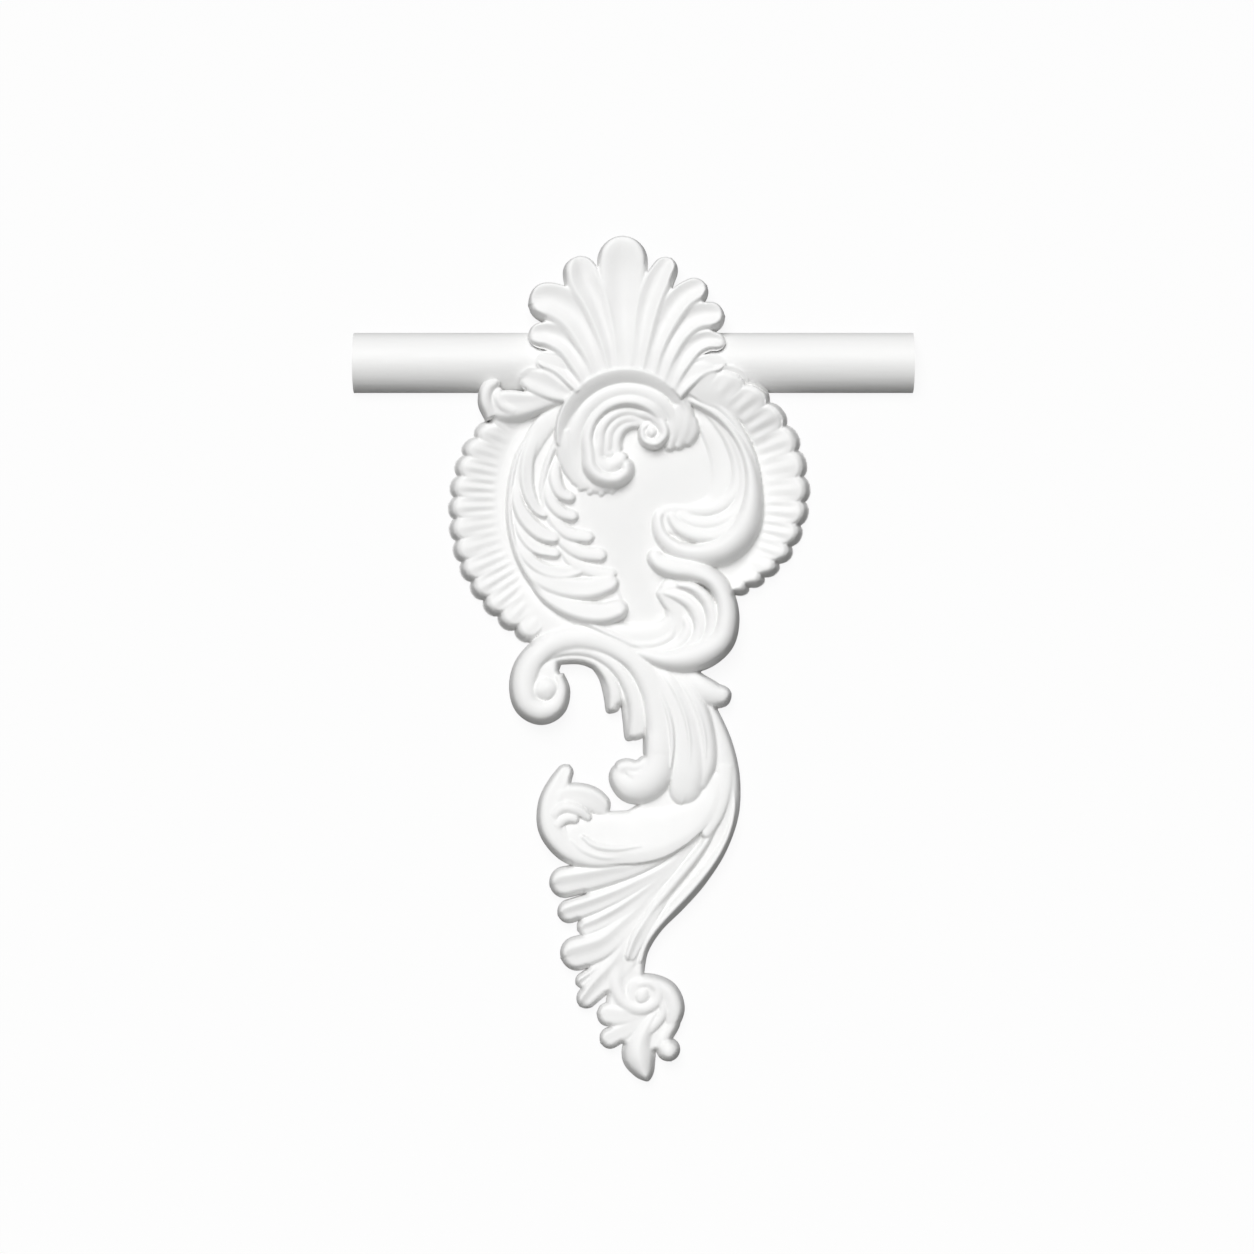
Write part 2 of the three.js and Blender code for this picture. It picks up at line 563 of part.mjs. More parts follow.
function lowerScroll() {
  return [
    bed([[4, -98], [26, -104], [48, -98], [58, -82], [56, -66], [44, -56], [28, -52], [20, -58],
      [26, -66], [32, -80],
      [24, -90], [6, -92]], 13.5),
    lobe([[-40, -78], [-18, -88], [5, -93], [24, -90], [32, -80], [30, -70], [23, -61]],
      [3, 6, 9, 10, 10, 8.5, 4],
      [13, 14, 14.5, 15, 15, 15, 13], { edge: [10, 10, 9.5, 9.5, 9, 9, 9], power: 2.6, thin: true }),
    lobe([[-22, -89], [-2, -95.5], [16, -96], [27, -90], [29.5, -82]], [1.5, 2.4, 2.8, 3.2, 2],
      [14, 15.5, 16.5, 16.5, 15],
      { edge: 13, thin: true }),
    lobe([[-2, -99.5], [18, -101], [33, -95.5], [38.5, -86], [35.5, -77]], [2, 2.8, 3.6, 3.8, 2.2],
      [15, 17, 18, 18, 15.5],
      { edge: [13, 14, 15, 14.5, 13], thin: true }),
    lobe([[10, -103], [30, -103], [43, -95], [47, -82], [42, -71], [32, -64.5], [21, -61.5]],
      [2, 3, 4, 4.6, 5, 4.6, 2.6],
      [15, 18, 19.5, 20, 19.5, 18.5, 15.5],
        { edge: [14, 15, 16, 16, 15, 10, 9], lean: 0.1, thin: true }),
    lobe([[20, -105], [39, -103], [51, -93.5], [54.5, -80], [51, -67.5], [42, -59], [30, -56.5]],
      [2, 3, 3.8, 4.2, 4.4, 4.2, 2.6], [16, 19, 21, 22, 22, 21, 17],
        { edge: [14, 16, 18, 18, 17, 12, 9.5], thin: true }),
    lobe([[4, -102], [25, -107.5], [45, -105], [60.5, -94.5], [65, -80], [63, -65], [56, -54],
      [43, -47.5], [29, -45.5],
      [19, -41.5], [13.5, -34]],
      [2.5, 5.5, 8.5, 9.6, 8.8, 7.8, 7, 6.6, 8, 7.4, 4.5],
        [15, 19, 23, 25.5, 26, 25.5, 24.5, 23.5, 22.5, 20.5, 16],
      { edge: [13, 15, 17, 18, 18, 18, 16, 13, 8, 6, 6],
        edgeRight: [11, 8, 6, 5, 6, 8, 10, 11, 12, 12, 10],
        power: 2.1, lean: 0.2 }),
  ];
}

// The leaf on the left of the disc. Rows are spine, half-widths, crown heights.

function leftLeaf() {
  const outer = [
    [[[-60, 50], [-68.5, 26], [-68, 6], [-61.5, -7], [-54, -11]], [3, 4.5, 5, 4.5, 3.2],
      [13, 15, 15.8, 16, 15]],
    [[[-76, 14], [-74.5, -3], [-67, -16.5], [-57, -24], [-46, -26]], [1.5, 4, 5.6, 6, 4.6],
      [13, 15.5, 17, 17.5, 16]],
    [[[-77.5, -7], [-72.5, -22], [-63, -32.5], [-46, -36.5]], [1.5, 3.6, 4.6, 4], [13, 15, 16.2, 15.6]],
    [[[-77, -20], [-70.5, -36], [-58.5, -46.5], [-44, -49.5], [-30, -46]], [1.5, 4, 5, 5.4, 3.6],
      [13, 15.2, 16.4, 16, 13.5]],
    [[[-74.5, -34], [-64, -50.5], [-47, -58.5], [-27, -60], [-8, -54]], [1.5, 5, 7.5, 8, 6],
      [13, 15.8, 17.6, 18, 16.5]],
    [[[-70, -46], [-56, -63.5], [-37, -73.5], [-18, -76], [-2, -71]], [1.5, 4.4, 6.8, 8, 6.5],
      [13, 16, 19, 20, 18.5]],
  ];
  const inner = [
    [[[-48.5, 28], [-50, 14], [-46, 4], [-36.5, 0]], [1.5, 4.5, 4.8, 3.6], [13, 15.5, 16.8, 15.5]],
    [[[-54, 16], [-53.5, 1], [-46.5, -8.5], [-34.5, -12.5]], [1.5, 4, 4.8, 4.2], [13, 15, 16.2, 15.5]],
    [[[-57, 0], [-51.5, -13], [-41, -23], [-24, -26]], [1.5, 4, 5, 4.4], [12.5, 14.5, 15.6, 15]],
    [[[-54, -12], [-46.5, -26], [-34.5, -35], [-15.5, -38]], [1.5, 4, 5.4, 5], [12.5, 14, 15.2, 15]],
    [[[-48, -30], [-38, -42], [-24, -48.5], [-9, -50]], [1.5, 3.8, 4.6, 4], [12.5, 13.6, 14, 13.6]],
  ];
  return [
    bed([[-44, 62], [-60, 50], [-73, 28], [-79, 0], [-76, -28], [-64, -52], [-44, -72], [-20, -84],
      [-6, -80], [-5, -66],
      [-12, -50], [-20, -40], [-34, -26], [-42, -10], [-44, 6], [-45, 24], [-47, 44]], 11),
    ...outer.map(([spine, widths, crown]) => lobe(spine, widths, crown,
      { edge: [12.8, 13.6, 13.6, 12.5, 10], edgeRight: [12, 10, 8, 7.5, 7], lean: -0.25, thin: true })),
    ...inner.map(([spine, widths, crown]) => lobe(spine, widths, crown,
      { edge: [12, 12.4, 12, 10], edgeRight: [11.5, 9, 7.5, 7], lean: -0.25, thin: true })),
    lobe([[-42, 65], [-57, 49], [-69, 27], [-74.5, 5], [-73, -10]], [3, 7, 6, 3.4, 1.6],
      [17, 15, 14.6, 14, 13],
      { edge: 11.5, power: 2.4, thin: true }),
    lobe([[-46.5, 44], [-54, 26], [-58.5, 8], [-57.5, -8]], [1.6, 2.4, 2.2, 1.5],
      [15, 15.2, 14.6, 13.4],
      { edge: 12, power: 1.8, thin: true }),
    // Stem
    lobe([[-58, 56], [-74, 30], [-79.5, 6], [-79.2, -18], [-73, -40], [-61, -58.5], [-44, -73],
      [-22, -85.5], [0, -95.5],
      [22, -104], [42, -110]],
      [1, 1.8, 2, 2.2, 2.4, 2.7, 3, 3.2, 3.2, 3, 2],
        [13.5, 14.5, 15, 15.6, 16.2, 16.8, 17, 17, 16.5, 16, 15],
      { edge: [11, 11, 11, 11, 11, 11.5, 12, 12, 12], edgeRight: 9, power: 1.8, lean: 0.1,
        thin: true }),
  ];
}

// The neck under the disc and the volute on its left, with two bands that end in teeth

function neckAndVolute() {
  return [
    lobe([[-76, -62], [-48, -86], [-15, -99], [15, -112], [30, -120]], [10, 12, 12, 11, 6],
      [10.5, 13, 13, 12, 11],
      { edge: 6, power: 2.6, tip: 6, thin: true }),
    lobe([[-47, -116], [-44.5, -127], [-49, -138], [-59, -141.5], [-68.5, -136], [-71.5, -123],
      [-67, -108.5],
      [-54.5, -96.5], [-36, -91.5], [-16, -96], [3, -108], [15, -126], [20, -148], [20, -168]],
      [3, 5.6, 8.4, 9, 9, 8.2, 8.6, 8.8, 7.4, 7, 8.4, 9.4, 10, 10.4],
      [19, 20.5, 22, 22, 21, 20, 19, 18.5, 18, 18.5, 19, 19.5, 20, 20.5],
      { edge: [7, 5, 4.5, 4.5, 5, 6, 6.5, 8, 10, 12, 13, 14, 14, 14],
        edgeRight: [14, 15, 15.5, 16, 16, 15, 13, 11, 10.5, 10.5, 11, 11, 11, 11], power: 2.2,
          lean: -0.2, tip: 0 }),
    // Eye of the volute
    lobe([[-58, -108], [-57, -122], [-54, -137]], [9, 12, 10], [16.5, 17.5, 17.5],
      { edge: 14, power: 3, root: 6 }),
    lobe([[-57.5, -114], [-55.5, -124], [-54, -134]], [6.5, 7.6, 6.5], [20, 21.5, 20.5],
      { edge: 15.5, edgeRight: 14.5, root: 6 }),
    // Bands
    lobe([[-64, -113], [-54, -104], [-40, -100.5], [-25, -102], [-11, -110], [-1.5, -122], [4, -138],
      [3.5, -160]],
      [1.6, 3.2, 4, 4.4, 4.8, 5.4, 6, 6], [16.5, 16.5, 16.5, 16.5, 16.5, 16.5, 16, 14.5],
      { edge: 9, edgeRight: [14, 12, 10, 9, 9, 9, 7, 6], tip: 4, thin: true }),
    lobe([[-56, -110], [-44, -106.5], [-31, -106.5], [-20, -111.5], [-13, -121], [-10.5, -131],
      [-12, -142]],
      [1.5, 3.2, 3.6, 4, 4.4, 5, 4.2], [15, 15, 14.8, 14.6, 14.5, 14.5, 13],
      { edge: 11, edgeRight: [8, 6, 5, 5, 5, 5, 5], tip: 4, thin: true }),
  ];
}

// The lower leaf: an outer stem in one long S, tail lobes, a broad middle leaf, and hanging lobes

function lowerLeaf() {
  const tails = [
    [[[48, -212], [30, -231], [6, -243.5], [-18, -249.5], [-53.5, -256.5]], [1.5, 4, 6.5, 9.5, 11],
      [13, 15, 16, 16.5, 15.5]],
    [[[46, -220], [26, -242.5], [2, -257], [-20, -267], [-48, -276.5]], [1.2, 3.4, 5.4, 7.4, 8],
      [12.5, 14, 14.6, 15, 14.5]],
    [[[42, -229], [22, -251], [-2, -270], [-18, -279.5], [-35, -286.5]], [1.2, 3.6, 5.2, 6.2, 6.4],
      [12.5, 13.5, 13.6, 13.8, 13.6]],
    [[[34, -242], [14, -266], [-4, -284], [-18, -296], [-46, -305]], [1.2, 5, 7, 10.5, 12.2],
      [12.5, 12.8, 13, 15, 15.5]],
    [[[18, -262], [6, -286], [-6, -308], [-20, -322], [-33.5, -337]], [2, 7, 10, 9, 6],
      [11.5, 12.2, 12.4, 12.2, 12]],
    [[[2, -298], [-16, -312], [-36, -322.5]], [3, 7, 4.5], [11.5, 12, 11.5]],
    [[[28, -256], [15, -276], [6, -291], [-1, -306.5]], [1.5, 4.5, 6, 4.4], [12.5, 13.5, 14.2, 13.8]],
  ];
  return [
    bed([[0, -104], [26, -112], [44, -128], [55, -147], [64, -170], [69, -200], [66, -221], [49, -251],
      [20, -283],
      [6, -304], [5, -318], [4, -332], [-10, -332], [-16, -322], [-12, -306], [-24, -296], [-20, -280],
        [-30, -262],
      [-36, -236], [-48, -222], [-49, -200], [-30, -200], [-16, -212], [0, -206], [10, -196], [4, -180],
        [12, -160]],
      10.5),
    // Outer stem
    lobe([[44, -122], [54, -142], [62, -166], [65.5, -190], [64, -212], [57.5, -232], [46, -251],
      [31, -269], [17, -284.5],
      [8.5, -300], [6, -318]],
      [3, 5, 7, 8, 8, 7, 6.4, 6, 5, 4, 3], [11.5, 12.5, 13.4, 14, 14, 14, 13.6, 13.4, 13.2, 13, 12],
      { edge: [5, 4.5, 4], edgeRight: [10, 11, 11.5, 11.5, 11, 10.5], power: 2.4, lean: -0.2 }),
    lobe([[68, -178], [69.5, -200], [65.5, -222], [55.5, -240], [41, -258], [25, -275.5], [12, -292.5],
      [6.5, -308]],
      [1.5, 3, 3.8, 4.2, 4.2, 3.8, 3.2, 2.2], [14.5, 16, 16.6, 16.6, 16.4, 15.6, 14.6, 13.5],
      { edge: [8, 6, 5, 5], edgeRight: [13, 12, 11, 11], power: 1.9, lean: 0.1, thin: true }),
    ...tails.map(([spine, widths, crown]) => lobe(spine, widths, crown,
      { edge: [11.5, 11, 10, 7, 5.5], edgeRight: [12, 12, 12, 11, 7], lean: 0.25, thin: true })),
    // Middle leaf, whose rim turns up round the left end into an ear
    lobe([[56, -182], [50, -200], [37, -213.5], [18, -221.5], [-6, -224.5], [-28, -222], [-42, -212]],
      [4, 9, 13, 17, 17.5, 16, 11], [12.5, 14, 15, 15.6, 16, 16.4, 16.5],
      { edge: [11, 10.5, 10, 10, 11, 13, 15], edgeRight: [11, 10, 9, 8.5, 8, 8, 8], power: 2.2,
        lean: 0.5,
        scoop: [0, 0.2, 0.6, 0.9, 0.9, 0.6], scoopAt: -0.1, scoopWidth: 0.7 }),
    lobe([[14, -236], [-6, -240.5], [-25, -240], [-42, -233], [-52.5, -219], [-53, -204], [-47.5, -190],
      [-40.5, -176.5]],
      [1.6, 3, 5, 7.6, 8.4, 8.6, 8, 4.6], [14, 16, 17.5, 18.5, 19, 18.5, 16.5, 13.5],
      { edge: [13, 13, 13, 12, 12, 11, 9, 7], edgeRight: [9, 6, 4, 3.5, 4, 5, 6, 6], power: 2.2,
        scoop: [0, 0, 0, 0, 0.4, 1, 1], scoopWidth: 0.6 }),
    lobe([[-48, -204], [-38, -205], [-26, -207]], [7, 7.5, 6], [15.5, 15, 13],
      { edge: 13, power: 3, root: 4 }),
    lobe([[-50, -200], [-40, -196.5], [-28, -198], [-14, -207.5]], [7, 8, 8.2, 6],
      [17, 17.5, 16.5, 13.5],
      { edge: [12, 9, 7, 6], edgeRight: [14, 12, 10, 8], power: 2.4, scoop: [0.5, 1, 1.2, 1],
        scoopWidth: 0.7 }),
    lobe([[-52, -208], [-44, -203.5], [-36, -206], [-30, -211]], [2.5, 3.2, 3, 2], [18, 19, 18, 15],
      { edge: 14.5, thin: true }),
    lobe([[-50, -215], [-43, -209.5], [-36, -212]], [2.5, 2.8, 2], [18, 18.4, 16],
      { edge: 14.5, thin: true }),
    // Pointed end at the right, and the lobes that hang
    lobe([[8, -102], [28, -112], [46, -125.5], [58, -130.5], [67.5, -129]], [3, 7.5, 9.5, 9.5, 6.5],
      [14.5, 15.5, 17, 17.5, 16],
        { edge: [12, 10, 8, 6, 6], edgeRight: [10, 8, 6, 4, 5], power: 2.3, lean: 0.15 }),
    lobe([[14, -104], [32, -118], [43.5, -135], [50, -155], [51, -175], [44, -194]],
      [2, 4.6, 6.4, 7.2, 7.4, 6],
      [14.5, 17, 18.5, 18.5, 18.5, 16.5],
      { edge: [12, 11, 9, 7, 6, 6], edgeRight: [13, 15, 15.5, 15.5, 15, 14], power: 2.3 }),
    lobe([[8, -103], [24, -119], [34.5, -139], [39, -160], [40, -180], [34.5, -203]],
      [2.5, 5, 7, 9, 11.5, 11.5],
      [15, 18.5, 19.5, 19.8, 20, 17.5],
      { edge: [13, 14, 14, 13, 9, 6], edgeRight: [13, 15, 16, 16, 16, 10], power: 2.3, lean: 0.05 }),
    lobe([[2, -102], [16, -117], [26, -137], [29, -158], [29, -180], [24, -194]],
      [2, 3.6, 5, 5.4, 5, 3],
      [15, 18, 18.8, 18.6, 18, 16], { edge: [13, 14.5, 15, 15, 15], power: 2.2, thin: true }),
    lobe([[16, -150], [19.5, -165], [19, -179], [11, -189.5], [0, -191.5], [-7, -184.5], [-5, -176]],
      [9, 9.5, 10.5, 11.5, 11.4, 8.4, 4.6], [19.5, 20.5, 21.5, 22, 21.5, 20, 17.5],
      { edge: [14, 14, 12, 8, 5, 6, 8], edgeRight: [12, 13, 15, 16, 16, 15, 14], power: 2.2,
        lean: -0.15 }),
  ];
}

function tailCurl() {
  return [
    bed([[-2, -300], [7, -312], [10, -317.5], [20, -317], [29, -323], [34.5, -333], [34, -343],
      [29, -352], [25, -362],
      [14, -368], [0, -366], [-10, -356], [-12, -346], [-16, -336], [-14, -324], [-10, -310]], 10.5),
    lobe([[12, -341], [-4, -343.5], [-22, -341.5]], [3, 7, 8.6], [13, 14.5, 14],
      { edge: [10, 6, 4.5], edgeRight: [11, 10, 7], thin: true }),
    lobe([[14, -343], [-1, -352], [-19.5, -361.5]], [2.4, 6, 7.6], [13, 14, 13.5],
      { edge: [10, 6, 4.5], edgeRight: [11, 10, 8], thin: true }),
    lobe([[19, -338], [11, -350], [5.5, -366], [12, -387]], [3, 6.5, 10, 5.5], [13.5, 15, 16.5, 14],
      { edge: [10, 8, 4.5, 4], power: 1.7 }),
    lobe([[30, -336], [28, -348], [22, -359], [22, -369]], [4.5, 5.5, 6, 7], 13.6,
      { edge: [8, 6, 5, 4] }),
    lobe([[23.5, -358.5], [25.5, -366], [27.5, -373.5]], [7.9, 8, 7.9], [16.5, 17.5, 16.5],
      { edge: 6, root: 8, tip: 8 }),
    // A soft spiral that turns in to its centre
    lobe([[-7, -304], [-9, -322], [-3, -334], [8, -338], [17.5, -333], [18, -326], [11.5, -322.5],
      [6, -326], [7.5, -330.5]],
      [5, 5.5, 5.5, 5, 4.4, 4, 3.8, 3.6, 3], [12, 13.4, 14.4, 15, 15.6, 16, 16.4, 16.6, 16.2],
      { edge: [9, 9, 11, 12.5, 13], thin: true }),
    lobe([[4, -317.5], [15, -320], [25.5, -326.5], [30, -337], [28, -350]], [2, 4.5, 6, 6.4, 5],
      [12.5, 14.5, 15.6, 15.4, 13.6],
      { edge: [7, 5, 4.5, 4.5, 5], edgeRight: [11, 12, 12.5, 12.5, 11], power: 2.1 }),
    lobe([[20, -330], [22, -340], [14, -351], [4, -358]], [2.5, 3.4, 3.2, 2], [15, 15, 14.5, 13.5],
      { edge: 12, thin: true }),
  ];
}

// The moulding and the room it needs

function halfRound(halfWidth, depth, from, to, backward) {
  // A half ellipse on the wall, extended backward of it where it is a cutter
  const outline = new THREE.Shape();
  outline.moveTo(halfWidth, -backward);
  for (let i = 0; i <= ROUND_SEGMENTS; i += 1) {
    const angle = (Math.PI * i) / ROUND_SEGMENTS;
    outline.lineTo(halfWidth * Math.cos(angle), depth * Math.sin(angle));
  }
  if (backward > 0) outline.lineTo(-halfWidth, -backward);
  const bar = new THREE.ExtrudeGeometry(outline, { depth: to - from, bevelEnabled: false });
  const toWorld = new THREE.Matrix4().makeBasis(
    new THREE.Vector3(0, 0, 1), new THREE.Vector3(0, -1, 0), new THREE.Vector3(1, 0, 0),
  );
  toWorld.setPosition(from, 0, MOULDING_RISE);
  return bar.applyMatrix4(toWorld);
}

function ornament() {
  const covered = MOULDING_WIDTH / 2 + CHANNEL_CLEARANCE + CHANNEL_COVER;
  const coverDepth = MOULDING_DEPTH + CHANNEL_CLEARANCE + CHANNEL_COVER;
  const saddle = halfRound(covered, coverDepth, -SADDLE_REACH * SCALE, SADDLE_REACH * SCALE, BACK);
  const strokes = [
    toSolid(saddle), ...fanDisc(), ...neckAndVolute(), ...lowerLeaf(), ...tailCurl(), ...leftLeaf(),
    ...rightScroll(), ...lowerScroll(), ...armCurl(), ...shell(), ...innerScroll(),
  ];
  const reach = 2 * ORNAMENT_HEIGHT;
  const wall = new THREE.BoxGeometry(reach, 4 * BACK, reach);
  wall.translate(0, 2 * BACK, 0);
  const channel = halfRound(
    MOULDING_WIDTH / 2 + CHANNEL_CLEARANCE, MOULDING_DEPTH + CHANNEL_CLEARANCE, -reach / 2, reach / 2,
      BACK,
  );
  const body = thinOut(toGeometry(join(strokes).subtract(toSolid(wall))), MOST_TRIANGLES);
  return toGeometry(toSolid(body).subtract(toSolid(channel)));
}

const whitePlaster = new THREE.MeshStandardMaterial({ name: 'white_cast', color: 0xf4f4f3,
  roughness: 0.72, metalness: 0 });
const whitePaint = new THREE.MeshStandardMaterial({ name: 'white_paint', color: 0xf6f6f5,
  roughness: 0.6, metalness: 0 });

const applique = new THREE.Mesh(ornament(), whitePlaster);
applique.name = 'scroll_applique';

const mouldingFrom = MOULDING_SHIFT - MOULDING_LENGTH / 2;
const moulding = new THREE.Mesh(
  halfRound(MOULDING_WIDTH / 2, MOULDING_DEPTH, mouldingFrom, mouldingFrom + MOULDING_LENGTH, 0),
    whitePaint,
);
moulding.name = 'half_round_moulding';

const group = new THREE.Group();
group.add(applique, moulding);

export default group;
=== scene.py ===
# %% [markdown]
# # A scroll applique over a half-round moulding
# The piece is a white cast ornament that lies flat on a wall: a shell at the top, a round fluted
# fan with scrolls wound over it, and a long curled leaf that hangs below. A straight half-round
# moulding runs through a channel in its back. This lesson starts from the measured frame, carves
# the ornament as one height field, turns that into a closed mesh, and then gives it its finish.

# %% Load the measured frame
import math

import bpy
import numpy as np
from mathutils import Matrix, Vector


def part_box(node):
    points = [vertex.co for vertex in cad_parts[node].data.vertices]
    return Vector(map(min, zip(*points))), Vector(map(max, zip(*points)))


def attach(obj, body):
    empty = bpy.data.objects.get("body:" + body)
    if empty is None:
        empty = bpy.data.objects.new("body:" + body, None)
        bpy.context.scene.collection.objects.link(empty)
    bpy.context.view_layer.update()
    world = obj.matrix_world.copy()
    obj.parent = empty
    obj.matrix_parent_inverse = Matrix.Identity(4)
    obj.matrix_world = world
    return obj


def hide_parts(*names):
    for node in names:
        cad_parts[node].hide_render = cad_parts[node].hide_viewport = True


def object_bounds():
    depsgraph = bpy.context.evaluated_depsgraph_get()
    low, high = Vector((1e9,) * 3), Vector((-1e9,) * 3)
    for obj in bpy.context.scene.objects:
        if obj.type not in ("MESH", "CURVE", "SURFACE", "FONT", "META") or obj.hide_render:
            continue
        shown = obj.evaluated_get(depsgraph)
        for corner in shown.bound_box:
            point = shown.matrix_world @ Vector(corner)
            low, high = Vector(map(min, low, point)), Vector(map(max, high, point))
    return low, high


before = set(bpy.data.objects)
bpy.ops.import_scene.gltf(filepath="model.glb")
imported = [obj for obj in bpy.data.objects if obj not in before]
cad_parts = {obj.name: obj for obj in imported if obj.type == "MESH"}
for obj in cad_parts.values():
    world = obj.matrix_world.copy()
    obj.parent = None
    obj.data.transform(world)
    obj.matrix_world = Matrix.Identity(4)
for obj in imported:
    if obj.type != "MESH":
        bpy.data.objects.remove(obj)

MM = 1000                       # mm in a metre
cad_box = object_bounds()
print("frame nodes:", sorted(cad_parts))
print("frame box in mm:", [[round(c * MM, 1) for c in corner] for corner in cad_box])

# %% [markdown]
# ## A sheet to carve on
# A cast relief has one height at every place, so it can be carved as a height field: a fine grid of
# heights in millimetres, with the ornament's outline kept beside it as a distance that is positive
# inside. Subdivided curves could also draw the leaves, but their joints would need hundreds of
# hand-made seams. On a height field each stroke simply melts into what lies below it.

# %% The grid of heights
CELL = 0.6                      # mm between two points of the grid
FAR_OUT = -99.0                 # the distance where nothing is carved yet
LOW, HIGH = (-125.0, -392.0), (124.4, 179.8)
u = np.arange(LOW[0], HIGH[0], CELL)
v = np.arange(LOW[1], HIGH[1], CELL)
U, V = np.meshgrid(u, v)
height = np.zeros_like(U)
inside_by = np.full_like(U, FAR_OUT)
print(f"grid of {U.shape[1]} by {U.shape[0]} points")

# %% [markdown]
# ## The carver's line
# Each leaf and scroll is drawn as one flowing line, as a carver pencils it on the block. A curve
# through a few points with tangents that suit their spacing never swings out between them. Values
# that change along the line, such as its width, are eased in the same manner.

# %% Lines and values that flow
def cubic(t, start, start_slope, end, end_slope):
    """The smooth cubic between two values with given slopes, for t from 0 to 1."""
    return ((2 * t**3 - 3 * t**2 + 1) * start + (t**3 - 2 * t**2 + t) * start_slope
            + (-2 * t**3 + 3 * t**2) * end + (t**3 - t**2) * end_slope)


def flowing_line(points, step=0.7):
    """Points about `step` mm apart on a smooth curve through the given ones, and its length."""
    p = np.array(points, float)
    if len(p) == 2:
        dense = np.linspace(p[0], p[1], 40)
    else:
        ends = np.vstack([2 * p[0] - p[1], p, 2 * p[-1] - p[-2]])
        t = np.linspace(0, 1, 24, endpoint=False)[:, None]
        pieces = []
        for p0, p1, p2, p3 in zip(ends[:-3], ends[1:-2], ends[2:-1], ends[3:]):
            d1, d2, d3 = (max(np.linalg.norm(b - a), 1e-6) ** 0.5
                          for a, b in ((p0, p1), (p1, p2), (p2, p3)))
            m1 = ((p1 - p0) / d1 - (p2 - p0) / (d1 + d2) + (p2 - p1) / d2) * d2
            m2 = ((p2 - p1) / d2 - (p3 - p1) / (d2 + d3) + (p3 - p2) / d3) * d2
            pieces.append(cubic(t, p1, m1, p2, m2))
        dense = np.vstack(pieces + [p[-1:]])
    run = np.concatenate([[0], np.cumsum(np.linalg.norm(np.diff(dense, axis=0), axis=1))])
    at = np.linspace(0, run[-1], max(8, int(run[-1] / step)))
    return np.stack([np.interp(at, run, dense[:, 0]), np.interp(at, run, dense[:, 1])], 1), run[-1]


def along(values, x):
    """Eases through a short list of values, for x from 0 to 1, without passing beyond them."""
    values = np.atleast_1d(np.array(values, float))
    if len(values) == 1:
        return np.full_like(x, values[0])
    knots = np.linspace(0, 1, len(values))
    i = np.clip(np.searchsorted(knots, x, side="right") - 1, 0, len(values) - 2)
    gap = knots[1] - knots[0]
    t = (x - knots[i]) / gap
    slope = np.gradient(values, gap) * gap
    rise = values[i + 1] - values[i]
    safe = np.where(rise == 0, 1, rise)
    first = np.where(rise == 0, 0, np.clip(slope[i] / safe, 0, 3) * rise)
    last = np.where(rise == 0, 0, np.clip(slope[i + 1] / safe, 0, 3) * rise)
    return cubic(t, values[i], first, values[i + 1], last)


def ease(x):
    """Rises from 0 to 1 and is level at both ends."""
    x = np.clip(x, 0, 1)
    return x * x * (3 - 2 * x)


def arc(cx, cy, radius, start, end, count=7):
    """Points on a circle from one angle to another, in degrees."""
    turn = np.radians(np.linspace(start, end, count))
    return [(cx + radius * np.cos(a), cy + radius * np.sin(a)) for a in turn]


# %% [markdown]
# ## One stroke of the gouge
# A lobe is the basic form of the whole ornament: a ridge with a crown line, rounded over to an edge
# on each side, blunt at its tip and often hollowed like a spoon. For each grid point near the line
# the helper finds how far along and how far beside it lies, and the cross-section gives the height.

# %% Where a point lies beside a line
def window(low, high, margin):
    """The part of the grid round a box, as two slices."""
    i0, i1 = np.searchsorted(u, [low[0] - margin, high[0] + margin])
    j0, j1 = np.searchsorted(v, [low[1] - margin, high[1] + margin])
    return slice(j0, j1), slice(i0, i1)


def beside(points, reach):
    """The window round a line, and there the distance along it and to its left, and its length."""
    line, length = flowing_line(points)
    heading = np.gradient(line, axis=0)
    heading /= np.linalg.norm(heading, axis=1)[:, None]
    w = window(line.min(0), line.max(0), reach)
    spots = np.stack([U[w].ravel(), V[w].ravel()], 1)
    nearest = np.full(len(spots), np.inf)
    index = np.zeros(len(spots), int)
    for start in range(0, len(line), 64):
        squared = ((spots[:, None, :] - line[None, start:start + 64]) ** 2).sum(2)
        k = squared.argmin(1)
        found = squared[np.arange(len(spots)), k]
        better = found < nearest
        nearest[better] = found[better]
        index[better] = k[better] + start
    offset = spots - line[index]
    forward = (offset * heading[index]).sum(1)
    left = heading[index, 0] * offset[:, 1] - heading[index, 1] * offset[:, 0]
    run = index * length / (len(line) - 1) + forward
    shape = U[w].shape
    return w, run.reshape(shape), left.reshape(shape), length


# %% Lay a form on what is there
def melt(w, covered, form, soft):
    """Takes the higher of the field and the new form, rounding the crease where they meet."""
    old = height[w]
    near = np.clip(soft - np.abs(old - form), 0, None) ** 2 / (4 * soft)
    joined = np.maximum(old, form) + np.where((old > 0) & (form > 0), near, 0)
    height[w] = np.where(covered, joined, old)


